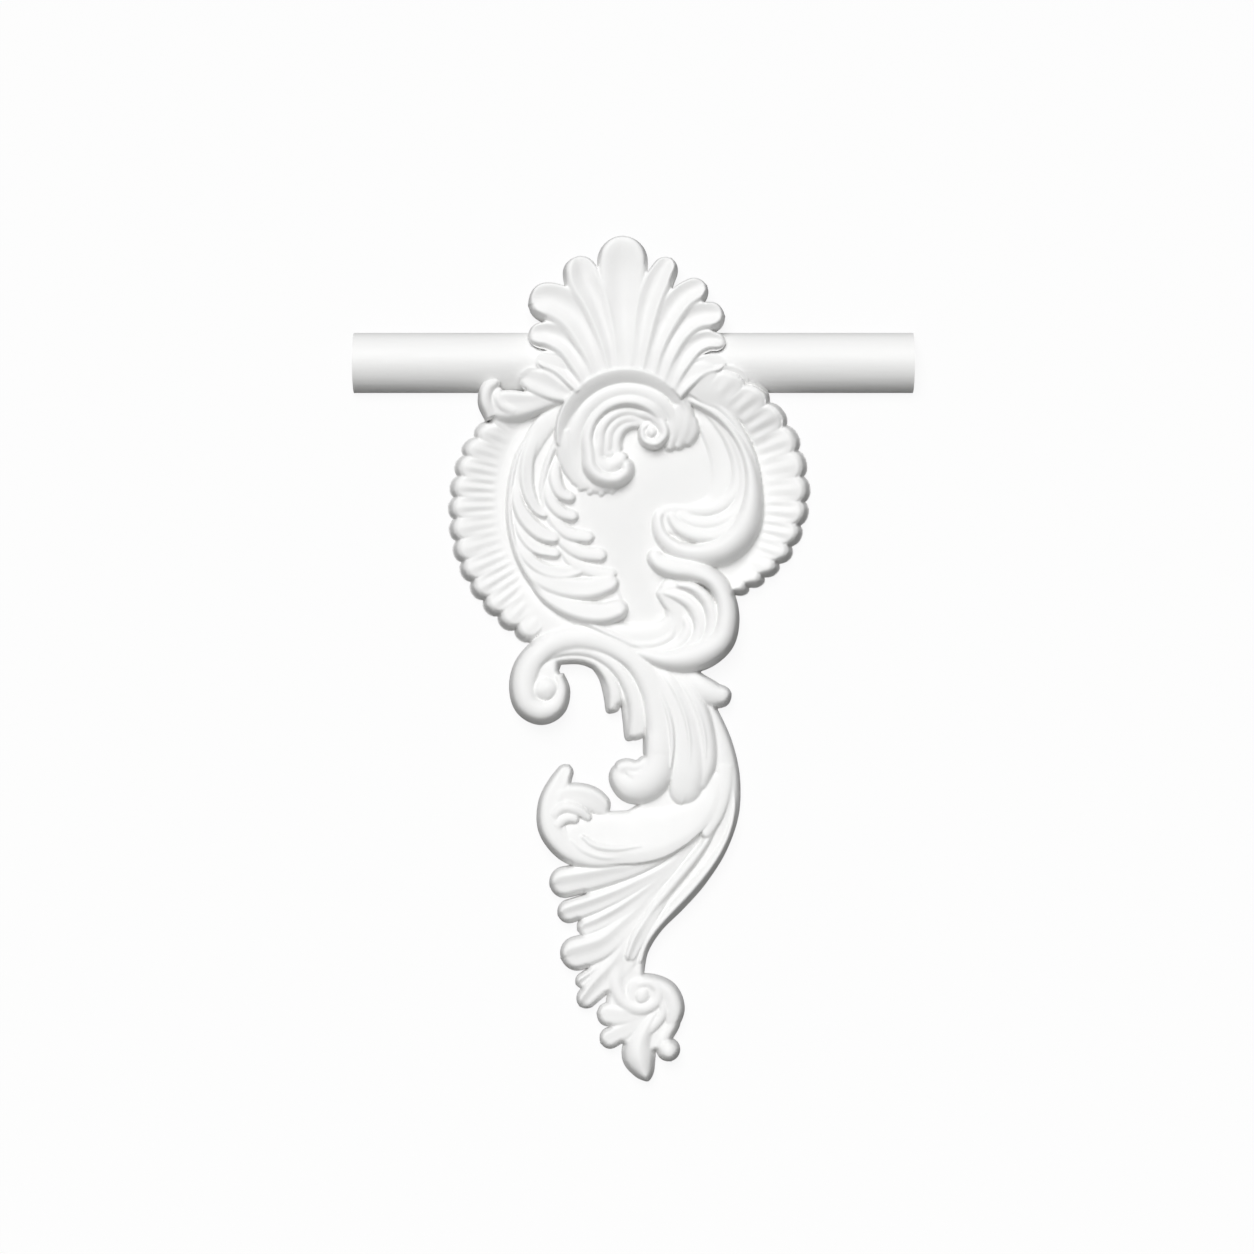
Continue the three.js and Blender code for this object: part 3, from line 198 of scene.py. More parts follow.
# %% The lobe
def lobe(points, width, crown, edge=4.0, edge_right=None, root=0.0, tip=None, power=2.0, lean=0.0,
         scoop=0.0, scoop_at=0.0, scoop_width=0.8, soft=0.8, blunt=0.5):
    """A leaf lobe or roll. `width` is to each side; `edge` is the height where the side ends, on the
    left of the line; `lean` moves the crown line to the left; `power` squares the section up."""
    w, run, left, length = beside(points, float(np.max(width)) + 2)
    x = np.clip(run / length, 0, 1)
    tip = float(np.atleast_1d(width)[-1]) if tip is None else tip
    end = np.ones_like(run)
    for reach, distance in ((tip, length - run), (root, run)):
        if reach > 0:
            end = end * np.sqrt(1 - (1 - np.clip(distance / reach, 0, 1)) ** 2)
    half = along(width, x) * end
    beyond = np.minimum(run, 0) + np.maximum(run - length, 0)
    foot = np.where((run >= 0) & (run <= length), half - np.abs(left),
                    -np.hypot(beyond, np.maximum(np.abs(left) - half, 0)))
    across = np.clip(left / np.maximum(half, 1e-6), -1, 1)
    side = np.where(across > lean, (across - lean) / (1 - lean), (lean - across) / (1 + lean))
    profile = np.clip(1 - np.abs(side) ** power, 0, 1) ** (1 / power if power >= 1.6 else 1)
    left_edge = along(edge, x)
    right_edge = left_edge if edge_right is None else along(edge_right, x)
    low = np.where(across > lean, left_edge, right_edge)
    form = low + (along(crown, x) - low) * profile * end ** blunt
    hollow = np.clip(1 - ((across - scoop_at) / scoop_width) ** 2, 0, 1) ** 1.5
    form = form - along(scoop, x) * hollow * end
    melt(w, foot > 0, form, soft)
    inside_by[w] = np.maximum(inside_by[w], foot)


# %% The bed under a group of leaves
def bed(outline, level, rim=4.0, edge=6.0, soft=0.8):
    """A level ground inside a smooth closed outline, rounded over `rim` mm down to `edge`."""
    p = np.array(outline, float)
    ring = np.vstack([p[-1:], p, p[:2]])
    t = np.linspace(0, 1, 8, endpoint=False)[:, None]
    line = np.vstack([cubic(t, p1, (p2 - p0) / 2, p2, (p3 - p1) / 2)
                      for p0, p1, p2, p3 in zip(ring[:-3], ring[1:-2], ring[2:-1], ring[3:])])
    w = window(line.min(0), line.max(0), 3)
    distance = np.full(U[w].shape, np.inf)
    within = np.zeros(U[w].shape, bool)
    for (x1, y1), (x2, y2) in zip(line, np.roll(line, -1, 0)):
        ex, ey = x2 - x1, y2 - y1
        t = np.clip(((U[w] - x1) * ex + (V[w] - y1) * ey) / (ex * ex + ey * ey), 0, 1)
        distance = np.minimum(distance, np.hypot(U[w] - x1 - t * ex, V[w] - y1 - t * ey))
        if y1 != y2:
            within ^= ((y1 > V[w]) != (y2 > V[w])) & (U[w] < ex * (V[w] - y1) / ey + x1)
    foot = np.where(within, distance, -distance)
    form = edge + (level - edge) * np.sqrt(1 - (1 - np.clip(foot / rim, 0, 1)) ** 2)
    melt(w, within, form, soft)
    inside_by[w] = np.maximum(inside_by[w], foot)


# %% [markdown]
# ## The disc and its fluted fan
# Behind the scrolls lies a round plate, a little domed. Round it runs a fan of scalloped flutes,
# shallow dishes whose rims stand forward. On the left the flutes are narrow and even; on the right
# they are broader and shrink towards the bottom. Angles give each notch between two scallops.

# %% Where the moulding passes behind
MOULDING_LOW, MOULDING_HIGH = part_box("half_round_moulding")
RAIL_AXIS = (MOULDING_LOW.z + MOULDING_HIGH.z) / 2 * MM
RAIL_RADIUS = (MOULDING_HIGH.z - MOULDING_LOW.z) / 2 * MM
GAP, COVER = 0.5, 2.8           # mm round the moulding, and of cast over it
across_rail = np.clip(1 - ((V - RAIL_AXIS) / (RAIL_RADIUS + GAP + COVER)) ** 2, 0, None)
cover = (RAIL_RADIUS + GAP + COVER) * np.sqrt(across_rail)
print(f"moulding axis {RAIL_AXIS:.1f}, radius {RAIL_RADIUS:.1f}, least cover {cover.max():.1f} mm")

# %% The plate
PLATE_RADIUS, PLATE_HEIGHT, PLATE_DOME = 93.0, 9.0, 2.0
R = np.hypot(U, V)
on_plate = R < PLATE_RADIUS
height = np.where(on_plate, PLATE_HEIGHT + PLATE_DOME * (1 - (R / PLATE_RADIUS) ** 2), height)
inside_by = np.maximum(inside_by, PLATE_RADIUS - R)
print(f"plate area {on_plate.sum() * CELL**2 / 100:.0f} cm2")

# %% The fan
RING_RADIUS, FAN_FROM, RIM_RISE, RIM_WIDTH = 86.0, 70.0, 5.5, 8.0
# ridges between the flutes, weaker near the rim, and no two alike
FLUTE, FLUTE_FADE, FLUTE_OUT, FLUTE_LOSS = 0.5, 9.0, 16.0, 0.6
USUAL_FLUTE, UNEVEN, UNEVEN_TURN = 0.72, 0.34, 5.1
# notches in the outline, and the dip that runs in from each
NOTCH, NOTCH_SHARP = 3.6, 2.6
DIP, DIP_LENGTH, DIP_FADE, DIP_SHARP = 1.4, 26.0, 20.0, 2.5
# the rim rolls off and falls as a skirt to the wall
ROLL_OFF, ROLL_WIDTH = 2.2, 3.2
SKIRT, LEAST_SKIRT, SKIRT_CURVE, SKIRT_FOOT = 4.4, 12.0, 1.25, 0.8
# the fan climbs over the moulding, from higher up on the left than on the right
OVER_RAIL, LOW_FAN, CLIMB_LEFT, CLIMB_RIGHT, CLIMB_TO = 1.5, 6.0, 34.0, 12.0, 86.0
STEP_IN, STEP_LENGTH, STEP_SOFT = 6.0, 12.0, 1.5
# beside the shell it starts nearer in
NEARER, NEARER_FROM, NEARER_OVER = 6.0, 50.0, 15.0


def fan(notches, outline):
    """Flutes between the notch angles, out to the radius that (angle, radius) pairs give."""
    global height, inside_by
    angle = np.degrees(np.arctan2(V, U))
    if max(notches) > 180:
        angle = np.where(angle < 0, angle + 360, angle)
    notches = np.sort(np.array(notches, float))
    count = len(notches)
    x = np.interp(angle, notches, np.arange(count), left=-0.01, right=count - 0.99)
    phase = np.abs((x % 1) * 2 - 1)                       # 0 on a flute's middle, 1 in a notch
    angles, radii = zip(*sorted(outline))
    out = np.interp(angle, angles, radii)
    foot = out - NOTCH * phase ** NOTCH_SHARP
    rim = foot - SKIRT
    form = PLATE_HEIGHT + RIM_RISE * ease((R - RING_RADIUS) / (out - RIM_WIDTH - RING_RADIUS))
    start = np.where(U > 0, CLIMB_RIGHT, CLIMB_LEFT)
    climb = LOW_FAN + (cover.max() + OVER_RAIL - LOW_FAN) * ease((V - start) / (CLIMB_TO - start))
    near = NEARER * ease((V - NEARER_FROM) / NEARER_OVER) * (U > 0)
    step = ease((R - RING_RADIUS + STEP_IN + near) / (STEP_LENGTH - near))
    over = np.maximum(cover + OVER_RAIL, climb) * step
    form = (form + over + np.hypot(form - over, STEP_SOFT)) / 2
    fluted = ease((R - RING_RADIUS - 1) / FLUTE_FADE)
    fluted = fluted * (1 - FLUTE_LOSS * ease((R - (out - FLUTE_OUT)) / FLUTE_FADE))
    uneven = USUAL_FLUTE + UNEVEN * np.sin(UNEVEN_TURN * np.floor(x))
    form = form + FLUTE * uneven * fluted * np.cos(phase * 2 * np.pi)
    form = form - DIP * ease((R - (out - DIP_LENGTH)) / DIP_FADE) * phase ** DIP_SHARP
    form = form - ROLL_OFF * np.clip(1 - (rim - R) / ROLL_WIDTH, 0, 1) ** 2
    wall = np.clip((R - rim) / SKIRT, 0, 1)
    skirt = np.maximum(over - 1, LEAST_SKIRT) * (1 - wall ** SKIRT_CURVE) + SKIRT_FOOT
    form = np.where(R > rim, skirt, form)
    on = (angle > notches[0]) & (angle < notches[-1]) & (R > FAN_FROM) & (R < foot)
    height = np.where(on, np.maximum(height, form), height)
    side = np.radians(np.minimum(angle - notches[0], notches[-1] - angle)) * R
    own = np.minimum(foot - R, side)
    inside_by = np.where(R > FAN_FROM, np.maximum(inside_by, own), inside_by)


fan([151 + 7.04 * k for k in range(-1, 13)],
    [(150, 111), (163, 118), (178, 121), (190, 122.5), (200, 123.5), (212, 122.5), (225, 120.5),
     (239, 117.5)])
fan([55 - 10.45 * k + 0.195 * k * k for k in range(-1, 13)],
    [(64, 107), (50, 112), (38, 116.5), (20, 120.5), (0, 120.5), (-10, 118), (-20, 114),
     (-30, 107), (-44, 96)])
print(f"disc and fan reach {R[inside_by > 0].max():.1f} mm from the centre")

# %% [markdown]
# ## The neck and the volute
# Below the disc a broad band turns back on itself into a volute with a soft eye, and two narrower
# bands inside it end as teeth. The band then runs on into the curl of the hanging leaf.

# %% Carve the neck and volute
lobe([(-76, -62), (-48, -86), (-15, -99), (15, -112), (30, -120)], width=[10, 12, 12, 11, 6],
     crown=[10.5, 13, 13, 12, 11], edge=6, power=2.6, tip=6)
# the broad band of the volute runs on to the curl of the first lobe
lobe([(-47, -116), (-44.5, -127), (-49, -138), (-59, -141.5), (-68.5, -136), (-71.5, -123),
     (-67, -108.5), (-54.5, -96.5), (-36, -91.5), (-16, -96), (3, -108), (15, -126), (20, -148),
     (20, -168)], width=[3, 5.6, 8.4, 9, 9, 8.2, 8.6, 8.8, 7.4, 7, 8.4, 9.4, 10, 10.4],
     crown=[19, 20.5, 22, 22, 21, 20, 19, 18.5, 18, 18.5, 19, 19.5, 20, 20.5],
     edge=[7, 5, 4.5, 4.5, 5, 6, 6.5, 8, 10, 12, 13, 14, 14, 14],
     edge_right=[14, 15, 15.5, 16, 16, 15, 13, 11, 10.5, 10.5, 11, 11, 11, 11], power=2.2,
     lean=-0.2, tip=0)
# the eye of the volute: a dome with a soft turn on it
lobe([(-58, -108), (-57, -122), (-54, -137)], width=[9, 12, 10], crown=[16.5, 17.5, 17.5], edge=14,
     power=3, root=6)
lobe([(-58, -118.5), (-56, -126), (-54.5, -133)], width=[7, 8.6, 7], crown=[20.5, 22, 20.8],
     edge=16.5, root=7, tip=7, soft=2)
bed([(-60, -100), (-48, -103), (-46, -109), (-49, -116), (-56, -114), (-64, -108)], 15, rim=4,
    edge=11)
bed([(-68, -84), (-54, -84), (-48, -92), (-58, -98), (-68, -94)], 10, rim=3, edge=6)
# two inner bands that end in teeth, on one ground
bed([(-40, -104), (-29, -109), (-21, -119), (-17.5, -132), (-16, -141), (-12, -142), (-7, -136),
    (-5, -147), (-3.5, -159), (1, -160.5), (8, -156), (9, -170), (16, -170), (14, -140), (8, -120),
    (-4, -106), (-22, -97)], 11.5, rim=6, edge=5)
lobe([(-64, -113), (-54, -104), (-40, -100.5), (-25, -102), (-11, -110), (-1.5, -122), (4, -138),
     (3.5, -160)], width=[1.6, 3.2, 4, 4.4, 4.8, 5.4, 6, 6],
     crown=[16.5, 16.5, 16.5, 16.5, 16.5, 16.5, 16, 14.5], edge=[9, 9, 9, 9, 10, 12, 13, 12],
     edge_right=[14, 12, 10, 9, 9, 9, 7, 6], power=2.2, tip=4, soft=1.6)
lobe([(-56, -110), (-44, -106.5), (-31, -106.5), (-20, -111.5), (-13, -121), (-10.5, -131),
     (-12, -142)], width=[1.5, 3.2, 3.6, 4, 4.4, 5, 4.2],
     crown=[15, 15, 14.8, 14.6, 14.5, 14.5, 13], edge=11, edge_right=[8, 6, 5, 5, 5, 5, 5],
     power=2.2, tip=4)
print(f"highest so far {height.max():.1f} mm")

# %% [markdown]
# ## The hanging leaf
# The leaf below is one long S-shaped stem with lobes along it. The lobes lie against each other in
# one order, so each is drawn from the stem outwards, and the bed under them keeps the ground between
# them solid. The big middle face is slightly hollow, and its rim turns up into an ear.

# %% Carve the hanging leaf
# beds under the lobes
bed([(0, -104), (26, -112), (44, -128), (55, -147), (64, -170), (69, -200), (66, -221), (49, -251),
    (20, -283), (6, -304), (5, -318), (4, -332), (-10, -332), (-16, -322), (-12, -306), (-24, -296),
    (-20, -280), (-30, -262), (-36, -236), (-48, -222), (-49, -200), (-30, -200), (-16, -212),
    (0, -206), (10, -196), (4, -180), (12, -160)], 11.5, rim=4, edge=7)
# outer stem in one long S
lobe([(44, -122), (54, -142), (62, -166), (65.5, -190), (64, -212), (57.5, -232), (46, -251),
     (31, -269), (17, -284.5), (8.5, -300), (6, -318)], width=[3, 5, 7, 8, 8, 7, 6.4, 6, 5, 4, 3],
     crown=[11.5, 12.8, 13.8, 14, 13.6, 13, 12.4, 12, 12, 12, 12],
     edge=[5, 4.5, 4, 4, 4, 4, 4, 4, 4, 4],
     edge_right=[10, 11, 11.5, 11.5, 11, 10.5, 10.5, 10.5, 10.5, 10], power=2.4, lean=-0.2)
lobe([(60, -200), (57, -214), (50.5, -227), (39.5, -242), (25, -259.5), (12, -276), (3.5, -292),
     (0, -306)], width=[0.8, 2, 3, 3.5, 3.4, 3.2, 3, 2],
     crown=[13.5, 15.4, 16.6, 16.8, 16.2, 15.6, 15, 13.5], edge=[12, 11.5, 11], power=1.9)
lobe([(69, -190), (69, -206), (65, -223), (55.5, -240), (41, -258), (25, -275.5), (12, -292.5),
     (6.5, -308)], width=[0.8, 2, 3.2, 4, 4.2, 3.8, 3.2, 2.2],
     crown=[13, 14.8, 16, 16.6, 16.4, 15.6, 13.5], edge=[8, 6, 5, 5, 5, 5, 5],
     edge_right=[13, 12, 11, 11, 11, 11, 10.5], power=1.9, lean=0.1)
# the smooth upper stem ends in a tongue over them
lobe([(63, -176), (61, -195), (56, -211), (49, -224)], width=[5, 5.6, 5.2, 3.2],
     crown=[14, 15.4, 16.8, 17.8], edge=[12, 13, 14, 14.5], power=2.4, tip=3.4, soft=1.2)
# tail lobes as (points, widths, crowns), drawn so that each lies against the next
tails = [
    ([(48, -212), (30, -231), (6, -243.5), (-18, -249.5), (-53.5, -256.5)], [1.5, 4, 6.5, 9.5, 11],
     [13, 15, 16, 16.5, 15.5]),
    ([(46, -220), (26, -242.5), (2, -257), (-20, -267), (-48, -276.5)], [1.2, 3.4, 5.4, 7.4, 8],
     [12.5, 14, 14.6, 15, 14.5]),
    ([(42, -229), (22, -251), (-2, -270), (-18, -279.5), (-35, -286.5)], [1.2, 3.6, 5.2, 6.2, 6.4],
     [12.5, 13.5, 13.6, 13.8, 13.6]),
    ([(34, -242), (14, -266), (-4, -284), (-18, -296), (-46, -305)], [1.2, 5, 7, 10.5, 12.2],
     [12.5, 12.8, 13, 15, 15.5]),
    ([(18, -262), (6, -286), (-6, -308), (-20, -322), (-33.5, -337)], [2, 7, 10, 9, 6],
     [11.5, 12.2, 12.4, 12.2, 12]),
    ([(2, -298), (-16, -312), (-36, -322.5)], [3, 7, 4.5], [11.5, 12, 11.5]),
    ([(28, -256), (15, -276), (6, -291), (-1, -306.5)], [1.5, 4.5, 6, 4.4], [12.5, 14.5, 15.6, 15]),
]
TAIL_RAISE = [0, 0.6, 1.4, 2, 2]
for points, width, crown in tails:
    lobe(points, width=width, crown=[k + more for k, more in zip(crown, TAIL_RAISE)],
         edge=[11.5, 10.5, 9, 6, 5], edge_right=[12, 12, 11.5, 10.5, 8], power=2.1, lean=-0.1,
         scoop=[0, 0.3, 1.2, 2.3, 2.4], scoop_at=0.1, scoop_width=0.62)
# the middle leaf: one broad, slightly hollow face
lobe([(56, -182), (50, -200), (37, -213.5), (18, -221.5), (-6, -224.5), (-28, -222), (-42, -212)],
     width=[4, 9, 13, 17, 17.5, 16, 11], crown=[14, 17, 19, 20, 20, 19.5, 18],
     edge=[13, 16, 18, 19, 19, 18.5, 17], edge_right=[12, 11.5, 11, 10, 9, 8.5, 8], power=1.8,
     lean=0.6, scoop=[0, 0.3, 0.8, 1.1, 1.1, 0.6], scoop_at=-0.1, scoop_width=0.7)
lobe([(8, -229.5), (-10, -231.5), (-24, -229), (-32, -223)], width=[0.6, 1.6, 2, 1],
     crown=[19.6, 20.6, 20.8, 19.4], edge=19.2, soft=1.2)
lobe([(-2, -237), (-18, -237), (-31, -232.5), (-40, -225)], width=[0.6, 1.6, 2, 1],
     crown=[19, 20.2, 20.4, 19.2], edge=18.6, soft=1.2)
# its rim turns up round the left end into an ear
lobe([(14, -236), (-6, -240.5), (-25, -240), (-42, -233), (-52.5, -219), (-53, -204), (-47.5, -190),
     (-40.5, -176.5)], width=[1.6, 3, 5, 7.6, 8.4, 8.6, 8, 4.6],
     crown=[15.5, 18, 19.5, 20, 20, 19, 17, 14], edge=[13, 11, 9, 6, 5, 5, 6, 6],
     edge_right=[14, 16, 17.5, 17.5, 16.5, 15, 12, 9], power=2.2, scoop=[0, 0, 0, 0, 0.4, 1, 1],
     scoop_width=0.6)
lobe([(-48, -204), (-38, -205), (-26, -207)], width=[7, 7.5, 6], crown=[15.5, 15, 13], edge=13,
     power=3, root=4)
lobe([(-50, -200), (-40, -196.5), (-28, -198), (-14, -207.5)], width=[7, 8, 8.2, 6],
     crown=[17, 17.5, 16.5, 13.5], edge=[12, 9, 7, 6], edge_right=[14, 12, 10, 8], power=2.4,
     scoop=[0.5, 1, 1.2, 1], scoop_width=0.7)
lobe([(-51, -210), (-44, -204.5), (-35, -206), (-26, -212)], width=[3, 4, 3.6, 2],
     crown=[19, 20, 19.4, 17], edge=16.5, soft=1.6)
lobe([(-49, -217), (-42, -211.5), (-34, -212.5)], width=[3, 3.4, 2.4], crown=[19.5, 20, 19],
     edge=17, soft=1.6)
# the pointed end at the right, under the lower scroll
lobe([(8, -102), (28, -112), (46, -125.5), (58, -130.5), (67.5, -129)],
     width=[3, 7.5, 9.5, 9.5, 6.5], crown=[11, 12, 15.5, 17.5, 16], edge=[9, 8, 8, 6, 6],
     edge_right=[9, 7, 6, 4, 5], power=2.3, lean=0.15)
# the two big lobes that hang over it
lobe([(14, -104), (32, -118), (43.5, -135), (50, -155), (51, -175), (44, -194)],
     width=[2, 4.6, 6.4, 7.2, 7.4, 6], crown=[11.5, 15.5, 18.2, 18.5, 18.5, 16.5],
     edge=[12, 11, 9, 7, 6, 6], edge_right=[13, 15, 15.5, 15.5, 15, 14], power=2.3)
lobe([(8, -103), (24, -119), (34.5, -139), (39, -160), (40, -180), (34.5, -203)],
     width=[2.5, 5, 7, 9, 11.5, 11.5], crown=[12, 17, 19.2, 19.8, 20, 17.5],
     edge=[13, 14, 14, 13, 9, 6], edge_right=[13, 15, 16, 16, 16, 10], power=2.3, lean=0.05)
lobe([(2, -102), (16, -117), (26, -137), (29, -158), (29, -176), (27, -187)],
     width=[2, 3.6, 5, 5.4, 4, 2.4], crown=[13, 17, 18.6, 18.6, 18, 16.5],
     edge=[13, 14.5, 15, 15, 15], power=2.2)
lobe([(14, -109), (27, -123), (36, -142), (39.5, -160), (39.5, -176)],
     width=[0.6, 1.5, 1.8, 1.6, 0.6], crown=[13, 18.4, 20.4, 20.8, 20.2], edge=[12, 17.5, 19],
     soft=0.5)
lobe([(24, -112), (36, -124), (45, -141), (49.5, -158), (50, -172)],
     width=[0.6, 1.4, 1.7, 1.5, 0.6], crown=[13, 17.4, 19.3, 19.6, 19], edge=[12, 16.5, 17.8],
     soft=0.5)
lobe([(8, -113), (20, -129), (26.5, -147), (28, -164), (27, -178)], width=[0.6, 1.5, 1.8, 1.6, 0.6],
     crown=[15, 18.8, 20.4, 20.8, 20.2], edge=[14, 17.5, 18.6], soft=0.5)
# the first lobe's curl
lobe([(16, -150), (19.5, -165), (19, -179), (11, -189.5), (0, -191.5), (-7, -184.5), (-5, -176)],
     width=[9, 9.5, 10.5, 11.5, 11.4, 8.4, 4.6], crown=[19.5, 20.5, 21.5, 22, 21.5, 20, 17.5],
     edge=[14, 14, 12, 8, 5, 6, 8], edge_right=[12, 13, 15, 16, 16, 15, 14], power=2.2, lean=-0.15,
     root=12, soft=1.6)
lobe([(14, -171), (7, -180), (-3, -185)], width=[5, 7, 7], crown=[17.5, 19, 18.5],
     edge=[14, 12, 10], power=2.4, root=5, soft=1.6)
lobe([(14, -172), (5, -177.5), (-4, -177.5), (-9, -181)], width=[4, 4.2, 5.2, 5],
     crown=[19, 19.5, 19.5, 18.5], edge=[14, 12, 10], power=2.2, root=3, tip=4, soft=1.6)
lobe([(15, -173), (10, -181), (2, -183), (-3, -179)], width=[2.5, 3.2, 3, 2],
     crown=[20.5, 20.8, 20.4, 19], edge=17.5, soft=1.4)
print(f"highest so far {height.max():.1f} mm")

# %% [markdown]
# ## The curled tail
# The tip of the stem rolls into a small open curl with four drops under it. It is the smallest
# scroll, so it is softer and lower than the others.

# %% Carve the tail
bed([(-2, -300), (7, -312), (10, -317.5), (20, -317), (29, -323), (34.5, -333), (34, -343),
    (29, -352), (25, -362), (14, -368), (0, -366), (-10, -356), (-12, -346), (-16, -336),
    (-14, -324), (-10, -310)], 12, rim=4, edge=6)
# lobes below the curl
lobe([(12, -341), (-4, -343.5), (-22, -341.5)], width=[3, 7, 8.6], crown=[13, 14.5, 14],
     edge=[10, 6, 4.5], edge_right=[11, 10, 7], power=2.4, scoop=[0, 1, 1.2])
lobe([(14, -343), (-1, -352), (-19.5, -361.5)], width=[2.4, 6, 7.6], crown=[13, 14, 13.5],
     edge=[10, 6, 4.5], edge_right=[11, 10, 8], power=2.4, scoop=[0, 1, 1.2])
lobe([(19, -338), (11, -350), (5.5, -366), (12, -387)], width=[3, 7, 11.4, 4],
     crown=[13.5, 15.5, 17, 13.5], edge=[10, 8, 4.5, 4], power=1.7, tip=6)
lobe([(30, -336), (28, -348), (22, -359), (22, -369)], width=[4.5, 5.5, 6, 7],
     crown=[13.5, 13.6, 13.6, 13.5], edge=[8, 6, 5, 4])
lobe([(23.5, -358.5), (25.5, -366), (27.5, -373.5)], width=[7.9, 8, 7.9], crown=[16.5, 17.5, 16.5],
     edge=6, root=8, tip=8)
bed([(0, -320), (10, -318), (18, -324), (18, -334), (8, -340), (-2, -334)], 14.2, rim=3, edge=12)
# the curl itself: a soft spiral that turns in to its centre
lobe([(-7, -304), (-9, -322), (-3, -334), (8, -338), (17.5, -333), (18.5, -325), (12.5, -320.5),
     (5, -322)], width=[5, 5.5, 5.5, 5, 4.4, 4, 3.4, 2],
     crown=[12, 13.4, 14.4, 15, 15.6, 15.8, 15.6, 14.6], edge=[9, 9, 11, 12.5, 13], soft=1.4)
lobe([(4.5, -327), (8, -329), (12, -331)], width=[4.6, 5, 4.6], crown=[15.4, 16.2, 15.4], edge=14.6,
     root=4.6, soft=1.6)
lobe([(4, -317.5), (15, -320), (25.5, -326.5), (30, -337), (28, -350)], width=[2, 4.5, 6, 6.4, 5],
     crown=[12.5, 14.5, 15.6, 15.4, 13.6], edge=[7, 5, 4.5, 4.5, 5],
     edge_right=[11, 12, 12.5, 12.5, 11], power=2.1, lean=-0.05)
lobe([(20, -330), (22, -340), (14, -351), (4, -358)], width=[2.5, 3.4, 3.2, 2],
     crown=[15, 15, 14.5, 13.5], edge=12)
print(f"tail reaches {V[inside_by > 0].min():.1f} mm")

# %% [markdown]
# ## The leaf on the left of the disc
# A feathered leaf springs from the shell and sweeps down the left of the disc. Two rows of lobes
# turn in from its stem, and a thin raised line runs along its outer side to the neck.

# %% Carve the left leaf
# broad bed of the leaf
bed([(-44, 62), (-60, 50), (-73, 28), (-79, 0), (-76, -28), (-64, -52), (-44, -72), (-20, -84),
    (-6, -80), (-5, -66), (-12, -50), (-20, -40), (-34, -26), (-42, -10), (-44, 6), (-45, 24),
    (-47, 44)], 11.6, rim=3, edge=9)
# the outer row of lobes, as (points, widths, crowns)
down = [
    ([(-60, 50), (-68.5, 26), (-68, 6), (-61.5, -7), (-54, -11)], [3, 4.5, 5, 4.5, 3.2],
     [13, 15, 15.8, 16, 15]),
    ([(-76, 14), (-74.5, -3), (-67, -16.5), (-57, -24), (-46, -26)], [1.5, 4, 5.6, 6, 4.6],
     [13, 15.5, 17, 17.5, 16]),
    ([(-77.5, -7), (-72.5, -22), (-63, -32.5), (-46, -36.5)], [1.5, 3.6, 4.6, 4],
     [13, 15, 16.2, 15.6]),
    ([(-77, -20), (-70.5, -36), (-58.5, -46.5), (-44, -49.5), (-30, -46)], [1.5, 4, 5, 5.4, 3.6],
     [13, 15.2, 16.4, 16, 13.5]),
    ([(-74.5, -34), (-64, -50.5), (-47, -58.5), (-27, -60), (-8, -54)], [1.5, 5, 7.5, 8, 6],
     [13, 15.8, 17.6, 18, 16.5]),
    ([(-70, -46), (-56, -63.5), (-37, -73.5), (-18, -76), (-2, -71)], [1.5, 4.4, 6.8, 8, 6.5],
     [13, 16, 19, 20, 18.5]),
]
OUTER_RAISE, INNER_RAISE = 0.9, 0.7
for points, width, crown in down:
    lobe(points, width=width, crown=[crown[0]] + [k + OUTER_RAISE for k in crown[1:]],
         edge=[12.8, 13.6, 13.6, 12.5, 10], edge_right=[11.4, 9, 8, 7.5, 7], power=2.3, lean=-0.25,
         scoop=[0, 0.3, 0.9, 0.9], scoop_at=0.25, scoop_width=0.6)
# the inner row, in the same way
mid = [
    ([(-48.5, 28), (-50, 14), (-46, 4), (-36.5, 0)], [1.5, 4.5, 4.8, 3.6], [13, 15.5, 16.8, 15.5]),
    ([(-54, 16), (-53.5, 1), (-46.5, -8.5), (-34.5, -12.5)], [1.5, 4, 4.8, 4.2],
     [13, 15, 16.2, 15.5]),
    ([(-57, 0), (-51.5, -13), (-41, -23), (-24, -26)], [1.5, 4, 5, 4.4], [12.5, 14.5, 15.6, 15]),
    ([(-54, -12), (-46.5, -26), (-34.5, -35), (-15.5, -38)], [1.5, 4, 5.4, 5],
     [12.5, 14, 15.2, 15]),
    ([(-48, -30), (-38, -42), (-24, -48.5), (-9, -50)], [1.5, 3.8, 4.6, 4], [12.5, 13.6, 14, 13.6]),
]
for points, width, crown in mid:
    lobe(points, width=width, crown=[crown[0]] + [k + INNER_RAISE for k in crown[1:]],
         edge=[12, 12.4, 12, 10], edge_right=[11, 9, 7.5, 7], power=2.2, lean=-0.25)
# broad smooth band at the top of the stem
lobe([(-42, 65), (-57, 49), (-69, 27), (-74.5, 5), (-73, -10)], width=[3, 7, 6, 3.4, 1.6],
     crown=[17, 15, 14.6, 14, 13], edge=11.5, power=2.4)
lobe([(-46.5, 44), (-54, 26), (-58.5, 8), (-57.5, -8)], width=[1.6, 2.4, 2.2, 1.5],
     crown=[15, 15.2, 14.6, 13.4], edge=12, power=1.8)
